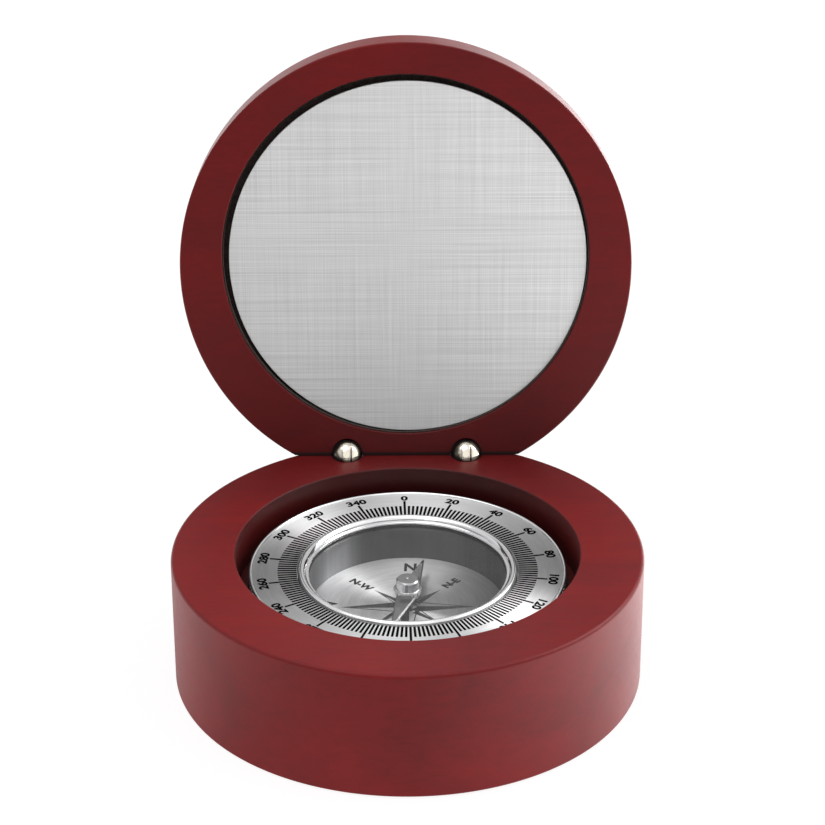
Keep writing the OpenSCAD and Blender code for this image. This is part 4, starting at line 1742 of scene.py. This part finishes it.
@dataclass
class Background:
    """White for the camera, soft light for the wood, and a room of light panels for the metals.

    Each span maps a part of the direction to a strength. A panel has its direction as well.
    """

    above: Span = (0.0, 0.9, 0.0, 0.28)
    beside: Span = (0.35, 0.95, 0.18, 0.95)
    lopsided: Span = (-0.5, 0.5, 0.75, 1.2)
    behind: Span = (-0.9, -0.1, 0.4, 1.0)
    room_right: Span = (0.25, 0.85, 0.0, 0.9)
    room_left: Span = (-0.85, -0.35, 0.4, 0.0)
    room_level: float = 0.36
    ceiling: Span = (0.45, 0.7, 0.3, 1.0)
    ceiling_fall: Span = (-0.6, 0.1, 0.8, 1.0)
    front_at: Spot = (0.0, -0.87, 0.5)
    front: Span = (0.8, 0.93, 0.0, 1.08)
    panel_at: Spot = (0.66, 0.38, 0.65)
    panel: Span = (0.925, 0.985, 0.0, 5.0)

    def build(self) -> None:
        """Builds the world."""
        world = bpy.data.worlds.new("studio")
        bpy.context.scene.world = world
        world.use_nodes = True
        world.node_tree.nodes.clear()
        bench = NodeBench(world.node_tree)
        direction = bench.add("TexCoord").outputs["Generated"]
        x, y, z = bench.split(direction)
        rays = bench.add("LightPath").outputs
        mirror_ray = bench.maths("MAXIMUM", rays["Is Glossy Ray"], rays["Is Transmission Ray"])

        beside = bench.maths("MULTIPLY", bench.remap(bench.maths("ABSOLUTE", x), *self.beside),
                             bench.remap(x, *self.lopsided))
        soft = bench.maths("MULTIPLY", bench.maths("ADD", bench.remap(z, *self.above), beside),
                           bench.remap(y, *self.behind))

        sides = bench.maths("ADD", bench.remap(x, *self.room_right), bench.remap(x, *self.room_left))
        room = bench.maths("ADD", sides, self.room_level)
        ceiling = bench.maths("MULTIPLY", bench.remap(z, *self.ceiling),
                              bench.remap(x, *self.ceiling_fall))
        front = bench.remap(bench.vector("DOT_PRODUCT", direction, self.front_at), *self.front)
        room = bench.maths("MAXIMUM", bench.maths("MAXIMUM", room, ceiling), front)
        panel = bench.remap(bench.vector("DOT_PRODUCT", direction, self.panel_at), *self.panel)
        room = bench.maths("ADD", room, panel)

        plain, mirrored, white = (
            bench.add("Background", {"Color": WHITE, "Strength": strength}).outputs[0]
            for strength in (soft, room, 1.0))
        lit = bench.add("MixShader", {0: mirror_ray, 1: plain, 2: mirrored})
        seen = bench.add("MixShader", {0: rays["Is Camera Ray"], 1: lit.outputs[0], 2: white})
        bench.add("OutputWorld", {0: seen.outputs[0]})


@dataclass
class Floor:
    """A wide white floor: a faint shadow for the camera, a bright right side for the metals.

    The spans are in millimetres from the middle of the compass.
    """

    size: float = 6000.0
    sunk: float = 0.1
    right: Span = (0.0, 120.0, 0.4, 4.4)
    left: Span = (-120.0, -30.0, 1.4, 0.0)
    near: Span = (-350.0, -120.0, 0.35, 1.0)
    pool: Span = (90.0, 240.0, 0.8, 0.0)
    camera_glow: float = 0.88
    camera_paint: float = 0.24
    far_paint: float = 0.35
    grain: Grain = Grain(30.0)

    def build(self) -> None:
        """Lays the floor and paints it."""
        put_down()
        bpy.ops.mesh.primitive_plane_add(size=self.size * MM, location=(0, 0, -self.sunk * MM))
        floor = bpy.context.object
        floor.name = "floor"
        material = bpy.data.materials.new("floor_paint")
        material.use_nodes = True
        bench = NodeBench(material.node_tree)
        rays = bench.add("LightPath").outputs
        mirror_ray = bench.maths("MAXIMUM", rays["Is Glossy Ray"], rays["Is Transmission Ray"])
        place = bench.add("TexCoord").outputs["Object"]
        x, y, _ = bench.split(place)
        near = bench.over(y, *self.near)
        sides = bench.maths("ADD", bench.over(x, *self.right), bench.over(x, *self.left))
        sheen = bench.maths("MULTIPLY", mirror_ray, bench.maths("MULTIPLY", sides, near))
        pool = bench.over(bench.vector("LENGTH", place), *self.pool)
        bounce = bench.maths("MULTIPLY", rays["Is Diffuse Ray"], pool)
        glow = bench.maths("ADD", bench.maths("MULTIPLY", rays["Is Camera Ray"], self.camera_glow),
                           bench.maths("ADD", sheen, bounce))
        paint = bench.add("Mix", {
            0: rays["Is Camera Ray"], 2: bench.maths("MULTIPLY", near, self.far_paint),
            3: self.camera_paint}, data_type="FLOAT").outputs[0]
        roughness = bench.remap(bench.noise(place, self.grain), 0.3, 0.7, 0.9, 1.0)
        bench.set(material.node_tree.nodes["Principled BSDF"], {
            "Base Color": bench.grey(paint), "Specular IOR Level": 0.0, "Roughness": roughness,
            "Emission Color": WHITE, "Emission Strength": glow})
        floor.data.materials.append(material)


@dataclass(frozen=True)
class Lamp:
    """A square lamp that faces the compass: its place and side in metres, its power in watts."""

    name: str
    at: Spot
    side: float
    power: float
    aim: Spot = (0, 0, 0.03)

    def build(self) -> None:
        """Adds the lamp."""
        put_down()
        bpy.ops.object.light_add(type="AREA", location=self.at)
        lamp = bpy.context.object
        lamp.name = self.name
        lamp.data.shape = "RECTANGLE"
        lamp.data.size = lamp.data.size_y = self.side
        lamp.data.energy = self.power
        lamp.rotation_euler = (Vector(self.aim) - Vector(self.at)).to_track_quat("-Z", "Y").to_euler()


class Studio:
    """Plain floor, soft light and the camera."""

    lamps: tuple[Lamp, ...] = (
        Lamp("key", (0.42, 0.10, 0.46), 0.42, 0.6),
        Lamp("overhead", (-0.14, -0.08, 0.6), 0.5, 0.8),
    )

    def build(self) -> None:
        """Builds the studio."""
        Background().build()
        Floor().build()
        for lamp in self.lamps:
            lamp.build()
        Camera().build()
        bpy.context.scene.view_settings.view_transform = "Standard"


def main() -> None:
    """Builds the compass and its studio."""
    logging.basicConfig(level=logging.INFO, format="%(message)s")
    case = WoodCase()
    needle = Needle()
    palette = Palette(case.open_angle, needle.bearing)
    case.build(palette)
    LidLining(case).build(palette)
    BallHinges(case).build(palette)
    TurningBezel().build(palette)
    Capsule().build(palette)
    needle.build(palette)
    InnerWorks.build(palette)
    Studio().build()


if __name__ == "__main__":
    main()
